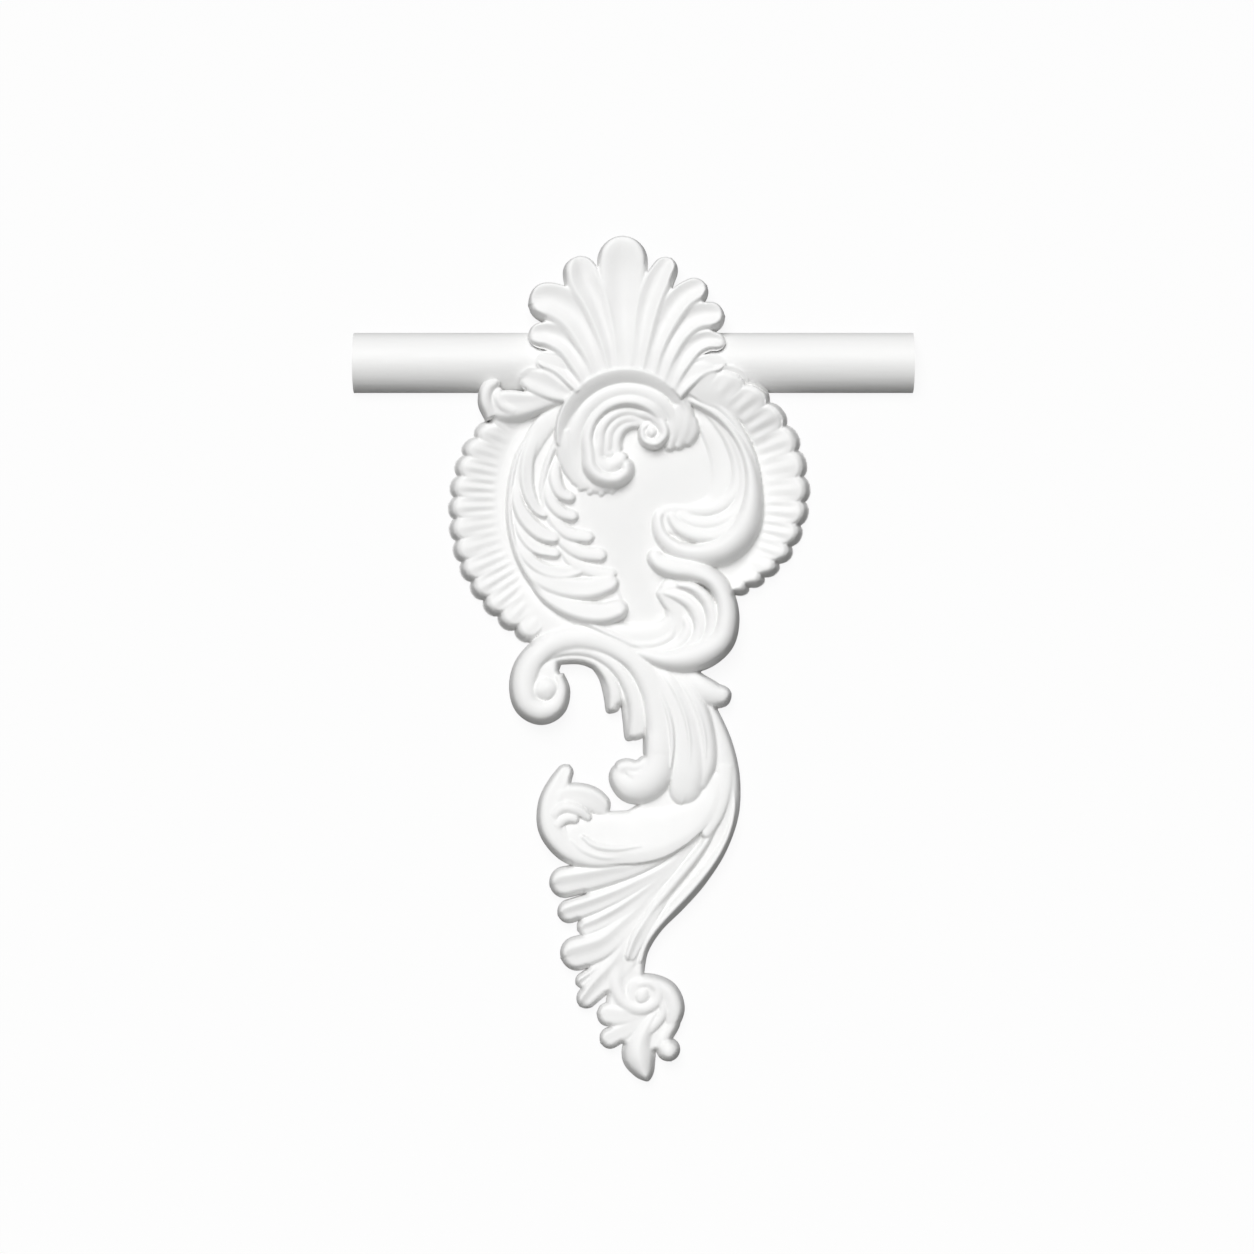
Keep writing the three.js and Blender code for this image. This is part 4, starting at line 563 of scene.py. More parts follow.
# the stem's thin raised line
lobe([(-58, 56), (-74, 30), (-79.5, 6), (-79.2, -18), (-73, -40), (-61, -58.5), (-44, -73),
     (-22, -85.5), (0, -95.5), (22, -104), (42, -110)],
     width=[1.0, 1.8, 2.0, 2.2, 2.4, 2.7, 3.0, 3.2, 3.2, 3, 2],
     crown=[13.5, 14.5, 15, 15.6, 16.2, 16.8, 17, 17, 16.5, 16, 15],
     edge=[11, 11, 11, 11, 11, 11.5, 12, 12, 12], edge_right=9, power=1.8, lean=0.1)
print(f"highest so far {height.max():.1f} mm")

# %% [markdown]
# ## The scroll on the right of the disc
# A C-shaped scroll opens to the left. Inside its heavy outer roll lie three narrow flutes and a
# smooth sheet, each a ridge of its own that fades out as it turns in.

# %% Carve the right scroll
bed([(20, -6), (30, -3), (44, -6), (44, -18), (30, -24), (20, -18)], 13, rim=3, edge=9)
# smooth inner sheet, then flutes, then the big outer roll
lobe([(40, 63), (54, 50), (64, 32), (67, 12), (60, -6), (42, -14), (28, -14)],
     width=[3, 9, 12, 13.5, 13, 12, 8], crown=[13.5, 13, 12.8, 12.8, 13, 13.5, 13],
     edge=[12, 11, 9, 8.5, 8.5, 8.5], edge_right=[12, 10, 8.5, 8.5, 8.5], power=2.6)
lobe([(50, 58), (63, 42), (70.5, 24), (70, 8), (61, -3.5), (49, -7.5), (38, -6)],
     width=[1.6, 2.4, 3.2, 3.8, 4.2, 4.4, 3.5], crown=[14, 15, 15.5, 15.5, 15.5, 15.5, 13.5],
     edge=[12.5, 13, 13, 13, 12.5, 12], edge_right=[12, 12, 12, 12, 11.5], lean=0.2)
lobe([(53, 57.5), (67.5, 40), (75, 21), (75, 2), (66.5, -10.5), (53, -16), (40, -14.5), (31, -9)],
     width=[1.4, 2.2, 3, 3.8, 4.6, 4.8, 4.6, 3], crown=[14.5, 16, 17, 17.2, 17.4, 17.4, 16.6, 14],
     edge=[13, 14, 14, 13.5, 12.5, 12, 12], edge_right=[13, 13.5, 14, 13, 12.5, 12], lean=0.2)
lobe([(55, 57), (71, 39), (78.5, 19), (78.5, -1), (71.5, -15), (58.5, -23), (44, -23.5), (32, -18),
     (26, -9)], width=[1.3, 2.0, 2.6, 3.6, 4.6, 5.4, 5.6, 5, 3],
     crown=[15, 17, 18.5, 19, 19.4, 20, 19.6, 18, 15], edge=[14, 15, 15, 14.5, 13.5, 13, 12.5, 12],
     edge_right=[14, 15, 15, 14.5, 14, 13, 12], lean=0.25)
# the outer roll: its crown keeps to the inner side and a long wall falls to the fan
lobe([(39, 67), (58, 56.5), (72.5, 39.5), (80.5, 19), (81.5, -3), (76.5, -20), (64, -33),
     (47, -37.5), (31, -34), (20.5, -24), (18.5, -12), (21.5, -7)],
     width=[3.4, 3.4, 3, 3.4, 4.6, 7.0, 9.6, 10, 8.6, 6.6, 4.6, 3],
     crown=[20.5, 20.6, 20, 20.2, 21.5, 23, 23.8, 24, 22.5, 20, 17, 14],
     edge=[11, 11, 11, 10, 9, 7, 5, 5, 6, 8, 9, 9],
     edge_right=[15, 15.5, 16, 16, 16, 15.5, 15, 14, 13, 12, 11, 11], power=2.1, lean=-0.28)
# thin rim that borders the fan
lobe([(41, 69.5), (60, 60), (75.5, 41), (84, 18), (85.5, -4), (82, -22), (74, -35)],
     width=[3, 3, 2.4, 2.0, 1.6], crown=[21, 19.6, 15.5, 13.5, 12], edge=[16, 13, 9.5])
print(f"highest so far {height.max():.1f} mm")

# %% [markdown]
# ## The scroll at the foot of the disc
# The next scroll is smaller and stands further forward. Its outer roll has the highest crown of the
# lower half and a long wall on the outside.

# %% Carve the lower scroll
bed([(18, -61), (28, -55), (38, -60), (36, -74), (28, -77), (21, -69)], 15, rim=3, edge=11)
# smooth body in the crook of the scroll
lobe([(-40, -78), (-18, -88), (5, -93), (24, -90), (32, -80), (30, -70), (23, -61)],
     width=[3, 6, 9, 10, 10, 8.5, 4], crown=[13, 14, 14.5, 15, 15, 15, 13],
     edge=[10, 10, 9.5, 9.5, 9, 9, 9], power=2.6)
bed([(4, -98), (26, -104), (48, -98), (58, -82), (56, -66), (44, -56), (28, -52), (20, -58),
    (26, -66), (32, -80), (24, -90), (6, -92)], 14.5, rim=4, edge=12)
lobe([(-22, -89), (-2, -95.5), (16, -96), (27, -90), (29.5, -82)], width=[1.5, 2.4, 2.8, 3.2, 2],
     crown=[14, 15.5, 16.5, 16.5, 15], edge=13)
lobe([(-2, -99.5), (18, -101), (33, -95.5), (38.5, -86), (35.5, -77)],
     width=[2, 2.8, 3.6, 3.8, 2.2], crown=[15, 17, 18, 18, 15.5], edge=[13, 14, 15, 14.5, 13])
lobe([(10, -103), (30, -103), (43, -95), (47, -82), (42, -71), (32, -64.5), (21, -61.5)],
     width=[2, 3, 4, 4.6, 5, 4.6, 2.6], crown=[15, 18, 19.5, 20, 19.5, 18.5, 15.5],
     edge=[14, 15, 16, 16, 15, 10, 9], lean=0.1)
lobe([(20, -105), (39, -103), (51, -93.5), (54.5, -80), (51, -67.5), (42, -59), (30, -56.5)],
     width=[2, 3, 3.8, 4.2, 4.4, 4.2, 2.6], crown=[16, 19, 21, 22, 22, 21, 17],
     edge=[14, 16, 18, 18, 17, 12, 9.5])
# outer roll, with its crown on the inner side and a long outer wall
lobe([(4, -102), (25, -107.5), (45, -105), (60.5, -94.5), (65, -80), (63, -65), (56, -54),
     (43, -47.5), (29, -45.5), (19, -41.5), (13.5, -34)],
     width=[2.5, 5.5, 8.5, 9.6, 8.8, 7.8, 7, 6.6, 8, 7.4, 4.5],
     crown=[16.5, 21.5, 24.5, 25.8, 26, 25.5, 24.5, 23.5, 22.5, 20.5, 16],
     edge=[13, 15, 17, 18, 18, 18, 16, 13, 8, 6, 6],
     edge_right=[11, 8, 6, 5, 6, 8, 10, 11, 12, 12, 10], power=2.1, lean=0.2)
print(f"highest so far {height.max():.1f} mm")

# %% [markdown]
# ## The shell
# Eleven hollow leaves spread from one root over the moulding. Each is a spoon: a thin raised edge on
# both sides of a scooped face, with a blunt round tip. The middle leaf lies over its neighbours.

# %% Carve the shell
RIM_CENTRE, UNDER_RIM = (-2.5, 37.5), 46.0
without_shell = height.copy()
# the ground the leaves stand on, in two steps
bed([(-31, 66), (-38, 80), (-52, 98), (-52, 112), (-38, 128), (-20, 137), (-5, 140), (12, 138),
    (28, 130), (42, 114), (48, 98), (36, 80), (30, 66), (14, 76), (-2, 79), (-18, 75)], 19.5, rim=5,
    edge=16)
bed([(-27, 64), (-33, 80), (-38, 98), (-30, 112), (-16, 119), (-3, 121), (10, 119), (22, 112),
    (32, 98), (32, 80), (27, 64), (14, 74), (-2, 77), (-16, 73)], 22.4, rim=6, edge=19)
# leaves as (points, widths, height of the tip), each from its root outwards, the lowest first
OUTWARD, INWARD = [23, 21, 18.5, 16, 12.5], [23, 22.5, 21.5, 20.5, 17]
left_leaves = [
    ([(-27, 66), (-37, 78), (-47, 88), (-62, 93)], [4, 6, 7.5, 6], 27),
    ([(-25, 71), (-33, 88), (-42, 101.5), (-54, 108), (-67.5, 108)], [4.6, 7, 9, 9.6, 8], 27),
    ([(-18, 76), (-27, 101), (-38, 121), (-52, 130), (-67.5, 129)], [5, 7.8, 11.8, 14, 12.4], 27),
    ([(-10.5, 80), (-15, 103), (-24, 130), (-32, 146), (-33.5, 161.5)], [4.5, 6.8, 9.4, 12, 11.8],
     26),
]
right_leaves = [
    ([(29, 66), (38, 78), (48, 87), (63, 90)], [3.5, 6, 7.5, 6], 27.2),
    ([(26, 72), (34, 89), (42, 100), (51, 104.5), (63, 103)], [4, 6, 7.6, 7.4, 5.4], 26.5),
    ([(20, 77), (25, 94), (33, 110), (44, 119.5), (63, 121.5)], [4.5, 6.4, 8.6, 10.2, 10], 27),
    ([(13.5, 80), (17.5, 99), (24.5, 117), (35.5, 133), (51, 142)], [4.6, 6.4, 8.8, 10, 8.8], 26.5),
    ([(5, 81), (8, 102), (12.5, 126), (19, 144), (27.5, 160)], [5, 6.8, 9, 10, 7.6], 26),
]
for leaves, on_left, on_right, hollow_at in ((left_leaves, OUTWARD, INWARD, -0.2),
                                             (right_leaves, INWARD, OUTWARD, 0.2)):
    for points, width, top in leaves:
        lobe(points, width=width, crown=[26, 27.6, 27, 26.4, top], edge=on_left,
             edge_right=on_right, power=2.6, scoop=[0.6, 2.4, 4.2, 5.0, 4.4], scoop_at=hollow_at,
             blunt=0.35, soft=1.2)
lobe([(-3, 80), (-4, 104), (-5.5, 134), (-5, 155), (-5, 174.9)], width=[5, 8.2, 12.8, 16.8, 16.8],
     crown=[26.5, 26.6, 25.4, 25.6, 27.6], edge=[23, 22, 19.5, 16.5, 13], power=2.7,
     scoop=[0.5, 1.8, 3.4, 4.2, 3.4], scoop_width=0.85, blunt=0.35, soft=1.2)
# small grounds where the lowest leaves meet the fan and the curl
lobe([(30, 62), (37, 69), (45, 76)], width=[3, 4, 3], crown=[19, 20.5, 21.5], edge=18.5, power=2.4,
     soft=1.4)
lobe([(-38, 72), (-48, 80), (-58, 86)], width=[3, 3.6, 3], crown=[23, 23.8, 23.4], edge=22.5,
     power=2.4, soft=1.4)
# lowest small leaf on the left
lobe([(-36, 67), (-48, 71), (-60, 76.8), (-73, 81)], width=[3.4, 7, 9, 6.5],
     crown=[23, 25, 25, 22.5], edge=[20, 18, 15, 12], edge_right=[22, 22, 20.5, 18], power=2.6,
     scoop=[0.4, 2, 2.6, 2.4], scoop_width=0.9, blunt=0.4, soft=1.4)
# the roots end under the rim of the inner scroll
from_rim = np.hypot(U - RIM_CENTRE[0], V - RIM_CENTRE[1])
height = np.where(from_rim < UNDER_RIM, without_shell, height)
print(f"shell reaches {V[inside_by > 0].max():.1f} mm")

# %% [markdown]
# ## The small curl beside the shell
# A short arm leaves the shell on the left and rolls up into a hook that overlaps the moulding.

# %% Carve the arm
lobe([(-38, 67), (-55, 64.5), (-72, 62), (-86, 61.5), (-95, 63)], width=[2, 5, 8.6, 11, 9],
     crown=[20, 21, 22, 21.5, 19], edge=[12, 9, 8, 7, 6], edge_right=[18, 17, 17, 17, 15],
     power=2.4, lean=-0.3, blunt=0.6, scoop=[0, 0.5, 1.6, 2.0, 1.6], scoop_at=-0.1, scoop_width=0.7,
     soft=1.4)
lobe([(-78, 60), (-88, 66), (-91, 72)], width=[6, 7, 5], crown=[18.5, 19, 18.5], edge=14, power=3,
     root=5)
lobe([(-90, 55), (-95, 65), (-93, 74), (-86.5, 78)], width=[7, 6.4, 5.6, 3.4],
     crown=[18, 21, 22, 21], edge=[14, 15, 17], edge_right=[7, 8, 14], lean=0.1, tip=4, soft=1.4)
lobe([(-76, 58), (-84, 62), (-87.5, 69), (-86, 74)], width=[3, 3.6, 3.6, 2.4],
     crown=[20, 21, 21, 19], edge=17, soft=1.4)
print(f"arm reaches {U[inside_by > 0].min():.1f} mm")

# %% [markdown]
# ## The inner scroll
# The richest carving sits just under the shell: rolls that wind inwards, one inside the other, a
# ruffled leaf along their outer side, a small volute at their right end, and over them all the
# forward rim of the scroll with its cove.

# %% Carve the inner scroll
cx, cy = -1.5, 38.0             # the middle of the rolls
# sunk bed of the scroll
lobe(arc(*RIM_CENTRE, 37, 22, 232, 10), width=[9, 12, 12.5, 12, 10, 6],
     crown=[15, 19, 19.5, 19, 17, 14], edge=12, power=2.6, tip=4)
lobe(arc(-1, 38, 19.5, 60, 235, 8), width=[4, 6, 7.6, 8.6, 8, 5], crown=[15, 16, 16, 16, 16, 14],
     edge=12, power=2.6, tip=3)
# ruffled outer leaf at the lower left, with pointed tongues
lobe([(-42, 46), (-41, 30), (-35, 18), (-25, 10), (-13, 9), (-4, 12)],
     width=[5, 6.5, 7.5, 6.5, 5, 2], crown=[19, 18, 15.5, 14.5, 14.5, 13], edge=9, power=2.2)
for tip_u, tip_v in ((-38.5, 10), (-34, 5.5), (-27.5, 2.8), (-19.5, 1.8), (-12, 3.6)):
    lobe([(tip_u * 0.72 - 3, tip_v + 13), (tip_u, tip_v)], width=[3.4, 2.8], crown=[15, 13.2],
         edge=[10, 8], tip=2.5)
# ruffled leaf at the right end
for tip_u, tip_v in ((25.5, 32), (31, 33), (36.5, 35.5)):
    lobe([(33, 62), (tip_u + 4.0, 46), (tip_u, tip_v)], width=[4.4, 5.4, 3.4], crown=[20, 19, 15],
         edge=[18, 15, 8], tip=3, soft=1.6)
lobe([(34, 66), (37.5, 56), (37, 45), (35.5, 36)], width=[4.4, 5, 5, 3.4],
     crown=[20.5, 20.5, 19, 15], edge=[16, 12, 7], soft=1.6)
# ground of the rolls and of the small volute
bed([(-30, 38), (-26, 52), (-12, 62), (6, 61), (16, 53), (8, 48), (-3, 45), (-7, 36), (-4, 28),
    (-5, 20), (-14, 17), (-24, 20), (-29, 29)], 16.6, rim=3, edge=12)
lobe([(27, 56), (27, 50), (26, 43)], width=[3, 3, 2.5], crown=[19.5, 19, 17.5], edge=17.5,
     power=2.4, soft=1.4)
bed([(6, 46), (9, 52), (16, 54), (23, 50), (24, 43), (19, 37), (12, 37), (7, 40)], 17.8, rim=3,
    edge=12)
# rolls, outer to inner
lobe(arc(cx, cy, 34.2, 12, 214, 10), width=[3, 4.4, 4.8, 5.0, 4.5, 3.5],
     crown=[18, 22.5, 23, 21.5, 19, 14], edge=[17, 20.5, 20.5, 18.5, 16.5, 12], lean=-0.1)
lobe(arc(cx, cy, 26.8, 28, 196, 8) + [(-26, 21), (-20, 14.5), (-10, 12.8), (-2.5, 18), (-3, 27)],
     width=[4, 4.6, 4.6, 4.4, 4.2, 4.6, 5.4, 6.2, 5.8, 5.4, 4.4],
     crown=[20, 23.5, 24, 23.5, 22, 21.5, 22, 23, 23.5, 22, 20],
     edge=[14, 10, 10, 11, 12, 12, 12, 10, 10, 10, 10],
     edge_right=[18, 20.5, 20.5, 19.5, 18, 15, 12, 9, 8, 8, 10], power=2.0, lean=0.1)
lobe(arc(cx + 1, cy + 0.5, 20.2, 48, 184, 7) + [(-22, 27), (-17.5, 22.5), (-11, 21.8), (-6, 26)],
     width=[2.6, 3, 3.2, 3.3, 3.4, 3.8, 4.6, 5, 5, 4.2],
     crown=[17, 18.5, 19, 19.5, 20, 20, 20, 20.5, 20.5, 19.5], edge=16.5, soft=1.4)
lobe(arc(cx + 2, cy + 0.5, 15.6, 58, 184, 6) + [(-15.5, 31), (-11.5, 29.5)],
     width=[2.4, 3, 3.1, 3.2, 3.4, 3.2], crown=[16, 17.8, 18, 18.2, 18.5, 18], edge=15.5, soft=1.4)
lobe([(8, 50), (1, 49.5), (-5.5, 45.5), (-8.5, 38), (-7.5, 31)], width=[2.4, 3, 3.4, 3.6, 3],
     crown=[15.5, 16.5, 16.8, 16.8, 16], edge=9, edge_right=14.5, soft=1.4)
lobe([(-13, 22.5), (-7, 25), (-4, 31)], width=[4, 4.4, 3], crown=[20.5, 21, 19], edge=16.5, tip=3,
     soft=2)
# the little volute at the right end
lobe([(3, 57), (12, 56), (20.5, 51), (23, 43), (17, 36.8), (9.6, 39), (8.2, 46), (12, 49.5)],
     width=[3, 4, 4.6, 4.2, 3.8, 3.4, 2.8, 2], crown=[18, 20, 21, 22, 22, 21.5, 21, 20],
     edge=[12, 10, 8, 8, 8, 9, 14], edge_right=[14, 16, 17, 17, 17, 17, 17], lean=0.15)
lobe([(10.5, 44.5), (17.5, 44)], width=[4.2, 4.4], crown=[21, 22.3], edge=17, root=4)
# outer rim, over everything: a narrow crest with a cove inside it
lobe(arc(*RIM_CENTRE, 43.6, 22, 184, 10), width=[3.0, 5.5, 6.6, 6.6, 6.0, 3.5],
     crown=[20, 25.5, 27.5, 27, 24, 18], edge=[16, 18.5, 19.5, 19, 17, 14],
     edge_right=[12, 18, 22, 20, 14, 10], power=1.5, lean=-0.72)
print(f"highest so far {height.max():.1f} mm")

# %% [markdown]
# ## Blending, rounded edges and cover
# A cast piece has no razor creases: the mould and the paint round them. Its outer edges are round
# too, or it would not leave the mould. So the field is blurred a little, and near the outline it
# falls in a quarter round to a low edge at the wall, in a wider one where the edge looks down. Over
# the moulding the casting keeps a minimum cover above the channel.

# %% Blur a field
def blurred(field, radius):
    """A Gaussian blur of `radius` mm, one axis after the other."""
    n = max(1, int(3 * radius / CELL))
    k = np.exp(-0.5 * (np.arange(-n, n + 1) * CELL / radius) ** 2)
    k /= k.sum()
    for axis in (0, 1):
        padded = np.pad(field, [(n, n) if a == axis else (0, 0) for a in (0, 1)], mode="edge")
        size = field.shape[axis]
        parts = (padded[i:i + size] if axis == 0 else padded[:, i:i + size]
                 for i in range(2 * n + 1))
        field = sum(weight * part for weight, part in zip(k, parts))
    return field


# %% How far each point lies from the outline
def from_outline(signed, reach):
    """The distance in mm to where `signed` is zero, up to `reach`."""
    found = np.full_like(signed, reach)
    for grid, turned in ((signed, False), (signed.T, True)):
        a, b = grid[:-1], grid[1:]
        crossing = (a > 0) != (b > 0)
        rows = np.arange(len(a))[:, None] + np.where(crossing, a / np.where(crossing, a - b, 1), 0)
        at = np.arange(len(grid))[:, None]
        low = np.full(grid.shape, -np.inf)
        low[1:] = np.maximum.accumulate(np.where(crossing, rows, -np.inf), 0)
        high = np.full(grid.shape, np.inf)
        high[:-1] = np.minimum.accumulate(np.where(crossing, rows, np.inf)[::-1], 0)[::-1]
        near = np.minimum(at - low, high - at) * CELL
        for shift in range(-int(reach / CELL), int(reach / CELL) + 1):
            moved = np.roll(near, shift, axis=1)
            d = np.hypot(moved, shift * CELL)
            found = np.minimum(found, d.T if turned else d)
    return found


# %% Finish the field
WALL_EDGE = 2.0
ROUND_BELOW, ROUND_ABOVE = 5.6, 2.2                       # edges facing down, facing up
EDGE_START = 0.3                                          # the rounding starts this far in
SOFTNESS, TREND = 0.45, 2.5                               # blurs of the field, of the outline
OUTLINE_REACH = 14.0
UNDER_BOX = 0.05
MOST_HEIGHT = -cad_box[0].y * MM - UNDER_BOX

inside = inside_by > 0
share = blurred(inside.astype(float), SOFTNESS)
height = blurred(np.where(inside, height, 0), SOFTNESS) / np.maximum(share, 1e-3)
to_outline = from_outline(inside_by, OUTLINE_REACH)
rise, run = np.gradient(blurred(inside.astype(float), TREND), CELL)
facing_up = 0.5 - 0.5 * rise / np.maximum(np.hypot(rise, run), 1e-6)
reach = ROUND_BELOW + (ROUND_ABOVE - ROUND_BELOW) * ease(facing_up)
least = np.maximum(cover, WALL_EDGE)


def rounded(distance):
    """The field's height where it lies `distance` mm inside the outline."""
    turn = np.sqrt(1 - (1 - np.clip((distance + EDGE_START) / reach, 0, 1)) ** 2)
    return np.clip(least + (height - least) * turn, least, MOST_HEIGHT)


at_outline, height = rounded(0.0), rounded(to_outline)
height = np.where(inside, height, 0)
print(f"area {inside.sum() * CELL**2 / 100:.0f} cm2, highest {height.max():.1f} mm")

# %% [markdown]
# ## From heights to a closed body
# The front is the grid itself, cut along the outline so that the edge is smooth and not stepped.
# Each cut cell gets new corners where the outline crosses it. The same triangles, turned round,
# make the flat back with its channel, and a wall joins the two. Marching triangles do the cutting,
# because a triangle can only be crossed in one way.

# %% Cut the grid along the outline
LEAST_CUT = 0.08                # a cut keeps this share of its edge on both sides


def cut_grid(signed, across, up):
    """Triangles of a grid where `signed` is positive: corners, the grid point each corner takes
    its height from, triangles and the directed edges along the cut."""
    rows, columns = signed.shape
    number = np.arange(rows * columns).reshape(rows, columns)
    a, b, c, d = number[:-1, :-1], number[:-1, 1:], number[1:, 1:], number[1:, :-1]
    triangles = np.concatenate([np.stack([corner.ravel() for corner in half], 1)
                                for half in ((a, b, c), (a, c, d))])
    value = signed.ravel()
    count = (value[triangles] > 0).sum(1)
    whole = triangles[count == 3]

    def turned(rows_of, lone_inside):
        """Turns each triangle so that its lone inside or outside corner comes first."""
        lone = (value[rows_of] > 0) == lone_inside
        first = lone.argmax(1)
        return np.stack([rows_of[np.arange(len(rows_of)), (first + k) % 3] for k in range(3)], 1)

    one, two = turned(triangles[count == 1], True), turned(triangles[count == 2], False)
    pairs = np.concatenate([one[:, [0, 1]], one[:, [0, 2]], two[:, [0, 1]], two[:, [0, 2]]])
    keys, cuts = np.unique(np.sort(pairs, 1), axis=0, return_inverse=True)
    cuts = cuts.reshape(-1) + rows * columns
    p, q = value[keys[:, 0]], value[keys[:, 1]]
    t = np.clip(p / (p - q), LEAST_CUT, 1 - LEAST_CUT)[:, None]
    spots = np.stack([g.ravel() for g in np.meshgrid(across, up)], 1)
    corners = np.concatenate([spots, spots[keys[:, 0]] * (1 - t) + spots[keys[:, 1]] * t])
    source = np.concatenate([np.arange(rows * columns), np.where(p > 0, keys[:, 0], keys[:, 1])])
    one_b, one_c, two_b, two_c = np.split(cuts, np.cumsum([len(one), len(one), len(two)]))
    clipped = np.concatenate([np.stack([one[:, 0], one_b, one_c], 1),
                              np.stack([two_b, two[:, 1], two[:, 2]], 1),
                              np.stack([two_b, two[:, 2], two_c], 1)])
    rim = np.concatenate([np.stack([one_b, one_c], 1), np.stack([two_c, two_b], 1)])
    return corners, source, np.concatenate([whole, clipped]), rim


# %% Put something into the scene
def in_scene(name, data):
    """A new object of the scene for a mesh, a light or a camera."""
    thing = bpy.data.objects.new(name, data)
    bpy.context.scene.collection.objects.link(thing)
    return thing


# %% Build the closed body
def closed_body(name, signed, front, edge, back):
    """A mesh object, in metres, with `front` and `back` as its depths in mm from the wall, and
    `edge` as the front's depth along the outline."""
    corners, source, triangles, rim = cut_grid(signed, u, v)
    used, compact = np.unique(triangles, return_inverse=True)
    triangles = compact.reshape(triangles.shape)
    place = np.full(len(corners), -1)
    place[used] = np.arange(len(used))
    rim = place[rim]
    corners, source, n = corners[used], source[used], len(used)
    depth = np.where(used >= signed.size, edge.ravel()[source], front.ravel()[source])
    points = np.concatenate([
        np.stack([corners[:, 0], -depth, corners[:, 1]], 1),
        np.stack([corners[:, 0], -back(corners[:, 1]), corners[:, 1]], 1)]) / MM
    walls = np.concatenate([np.stack([rim[:, 1], rim[:, 0], rim[:, 0] + n], 1),
                            np.stack([rim[:, 1], rim[:, 0] + n, rim[:, 1] + n], 1)])
    faces = np.concatenate([triangles, triangles[:, ::-1] + n, walls])
    mesh = bpy.data.meshes.new(name)
    mesh.vertices.add(len(points))
    mesh.vertices.foreach_set("co", points.ravel())
    mesh.loops.add(faces.size)
    mesh.loops.foreach_set("vertex_index", faces.ravel().astype(np.int32))
    mesh.polygons.add(len(faces))
    mesh.polygons.foreach_set("loop_start", np.arange(0, faces.size, 3, dtype=np.int32))
    mesh.update(calc_edges=True)
    mesh.validate()
    return in_scene(name, mesh)


def channel(z):
    """Depth of the ornament's back, which is flat but for the channel over the moulding."""
    return np.sqrt(np.clip((RAIL_RADIUS + GAP) ** 2 - (z - RAIL_AXIS) ** 2, 0, None))


applique = closed_body("cast_scroll_applique", inside_by, height, at_outline, channel)
print(f"raw body has {len(applique.data.polygons)} triangles")

# %% [markdown]
# ## Fewer triangles where it is flat
# The back and the quiet faces need few triangles, the creases need many. A collapse decimation
# spends them by how much the surface bends, so the fine carving keeps nearly every point.

# %% Thin the mesh out
MOST_TRIANGLES = 190_000
CREASE_ANGLE = 58.0             # degrees, the bend from which a crease stays sharp


def thin_out(piece, most):
    """Collapses the piece's mesh to at most `most` triangles."""
    step = piece.modifiers.new("thin", "DECIMATE")
    step.ratio = min(1.0, most / len(piece.data.polygons))
    step.use_collapse_triangulate = True
    evaluated = piece.evaluated_get(bpy.context.evaluated_depsgraph_get())
    mesh = bpy.data.meshes.new_from_object(evaluated)
    piece.modifiers.clear()
    piece.data = mesh


thin_out(applique, MOST_TRIANGLES)
applique.data.shade_smooth()
applique.data.set_sharp_from_angle(angle=math.radians(CREASE_ANGLE))
print(f"thinned body has {len(applique.data.polygons)} triangles")

# %% [markdown]
# ## Where dust settles
# Hollows are painted a little greyer than crowns: partly for dust and the thinner paint there,
# partly as painted shade for the soft shadow that gathers in them. How deep a point lies below its
# surroundings is known from the field, so it is stored on the mesh as an attribute that the
# material can read, the same from every side.

# %% Store hollow and crown on the mesh
def stored(piece, label, field):
    """Stores a grid field on the piece's points, read at the nearest grid point."""
    count = len(piece.data.vertices)
    co = np.zeros(count * 3)
    piece.data.vertices.foreach_get("co", co)
    co = co.reshape(-1, 3) * MM
    i = np.clip(np.round((co[:, 0] - u[0]) / CELL).astype(int), 0, len(u) - 1)
    j = np.clip(np.round((co[:, 2] - v[0]) / CELL).astype(int), 0, len(v) - 1)
    attribute = piece.data.attributes.new(label, "FLOAT", "POINT")
    attribute.data.foreach_set("value", field[j, i].astype(np.float32))


AROUND, FULL_HOLLOW, FULL_CROWN = 2.2, 3.0, 2.0             # mm
# How far below its surroundings a point lies; the material greys these hollows with dust and painted
# shade.
filled = np.where(inside, height, cover)
below = blurred(filled, AROUND) - filled
stored(applique, "hollow", np.clip(below / FULL_HOLLOW, 0, 1))
stored(applique, "crown", np.clip(-below / FULL_CROWN, 0, 1))
print(f"hollow up to {below.max():.1f} mm, crown up to {-below.min():.1f} mm")

# %% [markdown]
# ## The half-round moulding
# The moulding is a plain half round, run on a machine and painted. A profile swept straight along
# its length is the whole of it, with many steps round the curve so that it shades smoothly, and a
# small chamfer where the paint rounds the back edges. It is cut square at both ends.

# %% Build the moulding
PROFILE_STEPS, LENGTH_STEPS = 72, 24
EASED = 0.0004                  # m, the chamfer
END_ANGLE = 35.0                # degrees, the bend from which an edge stays sharp


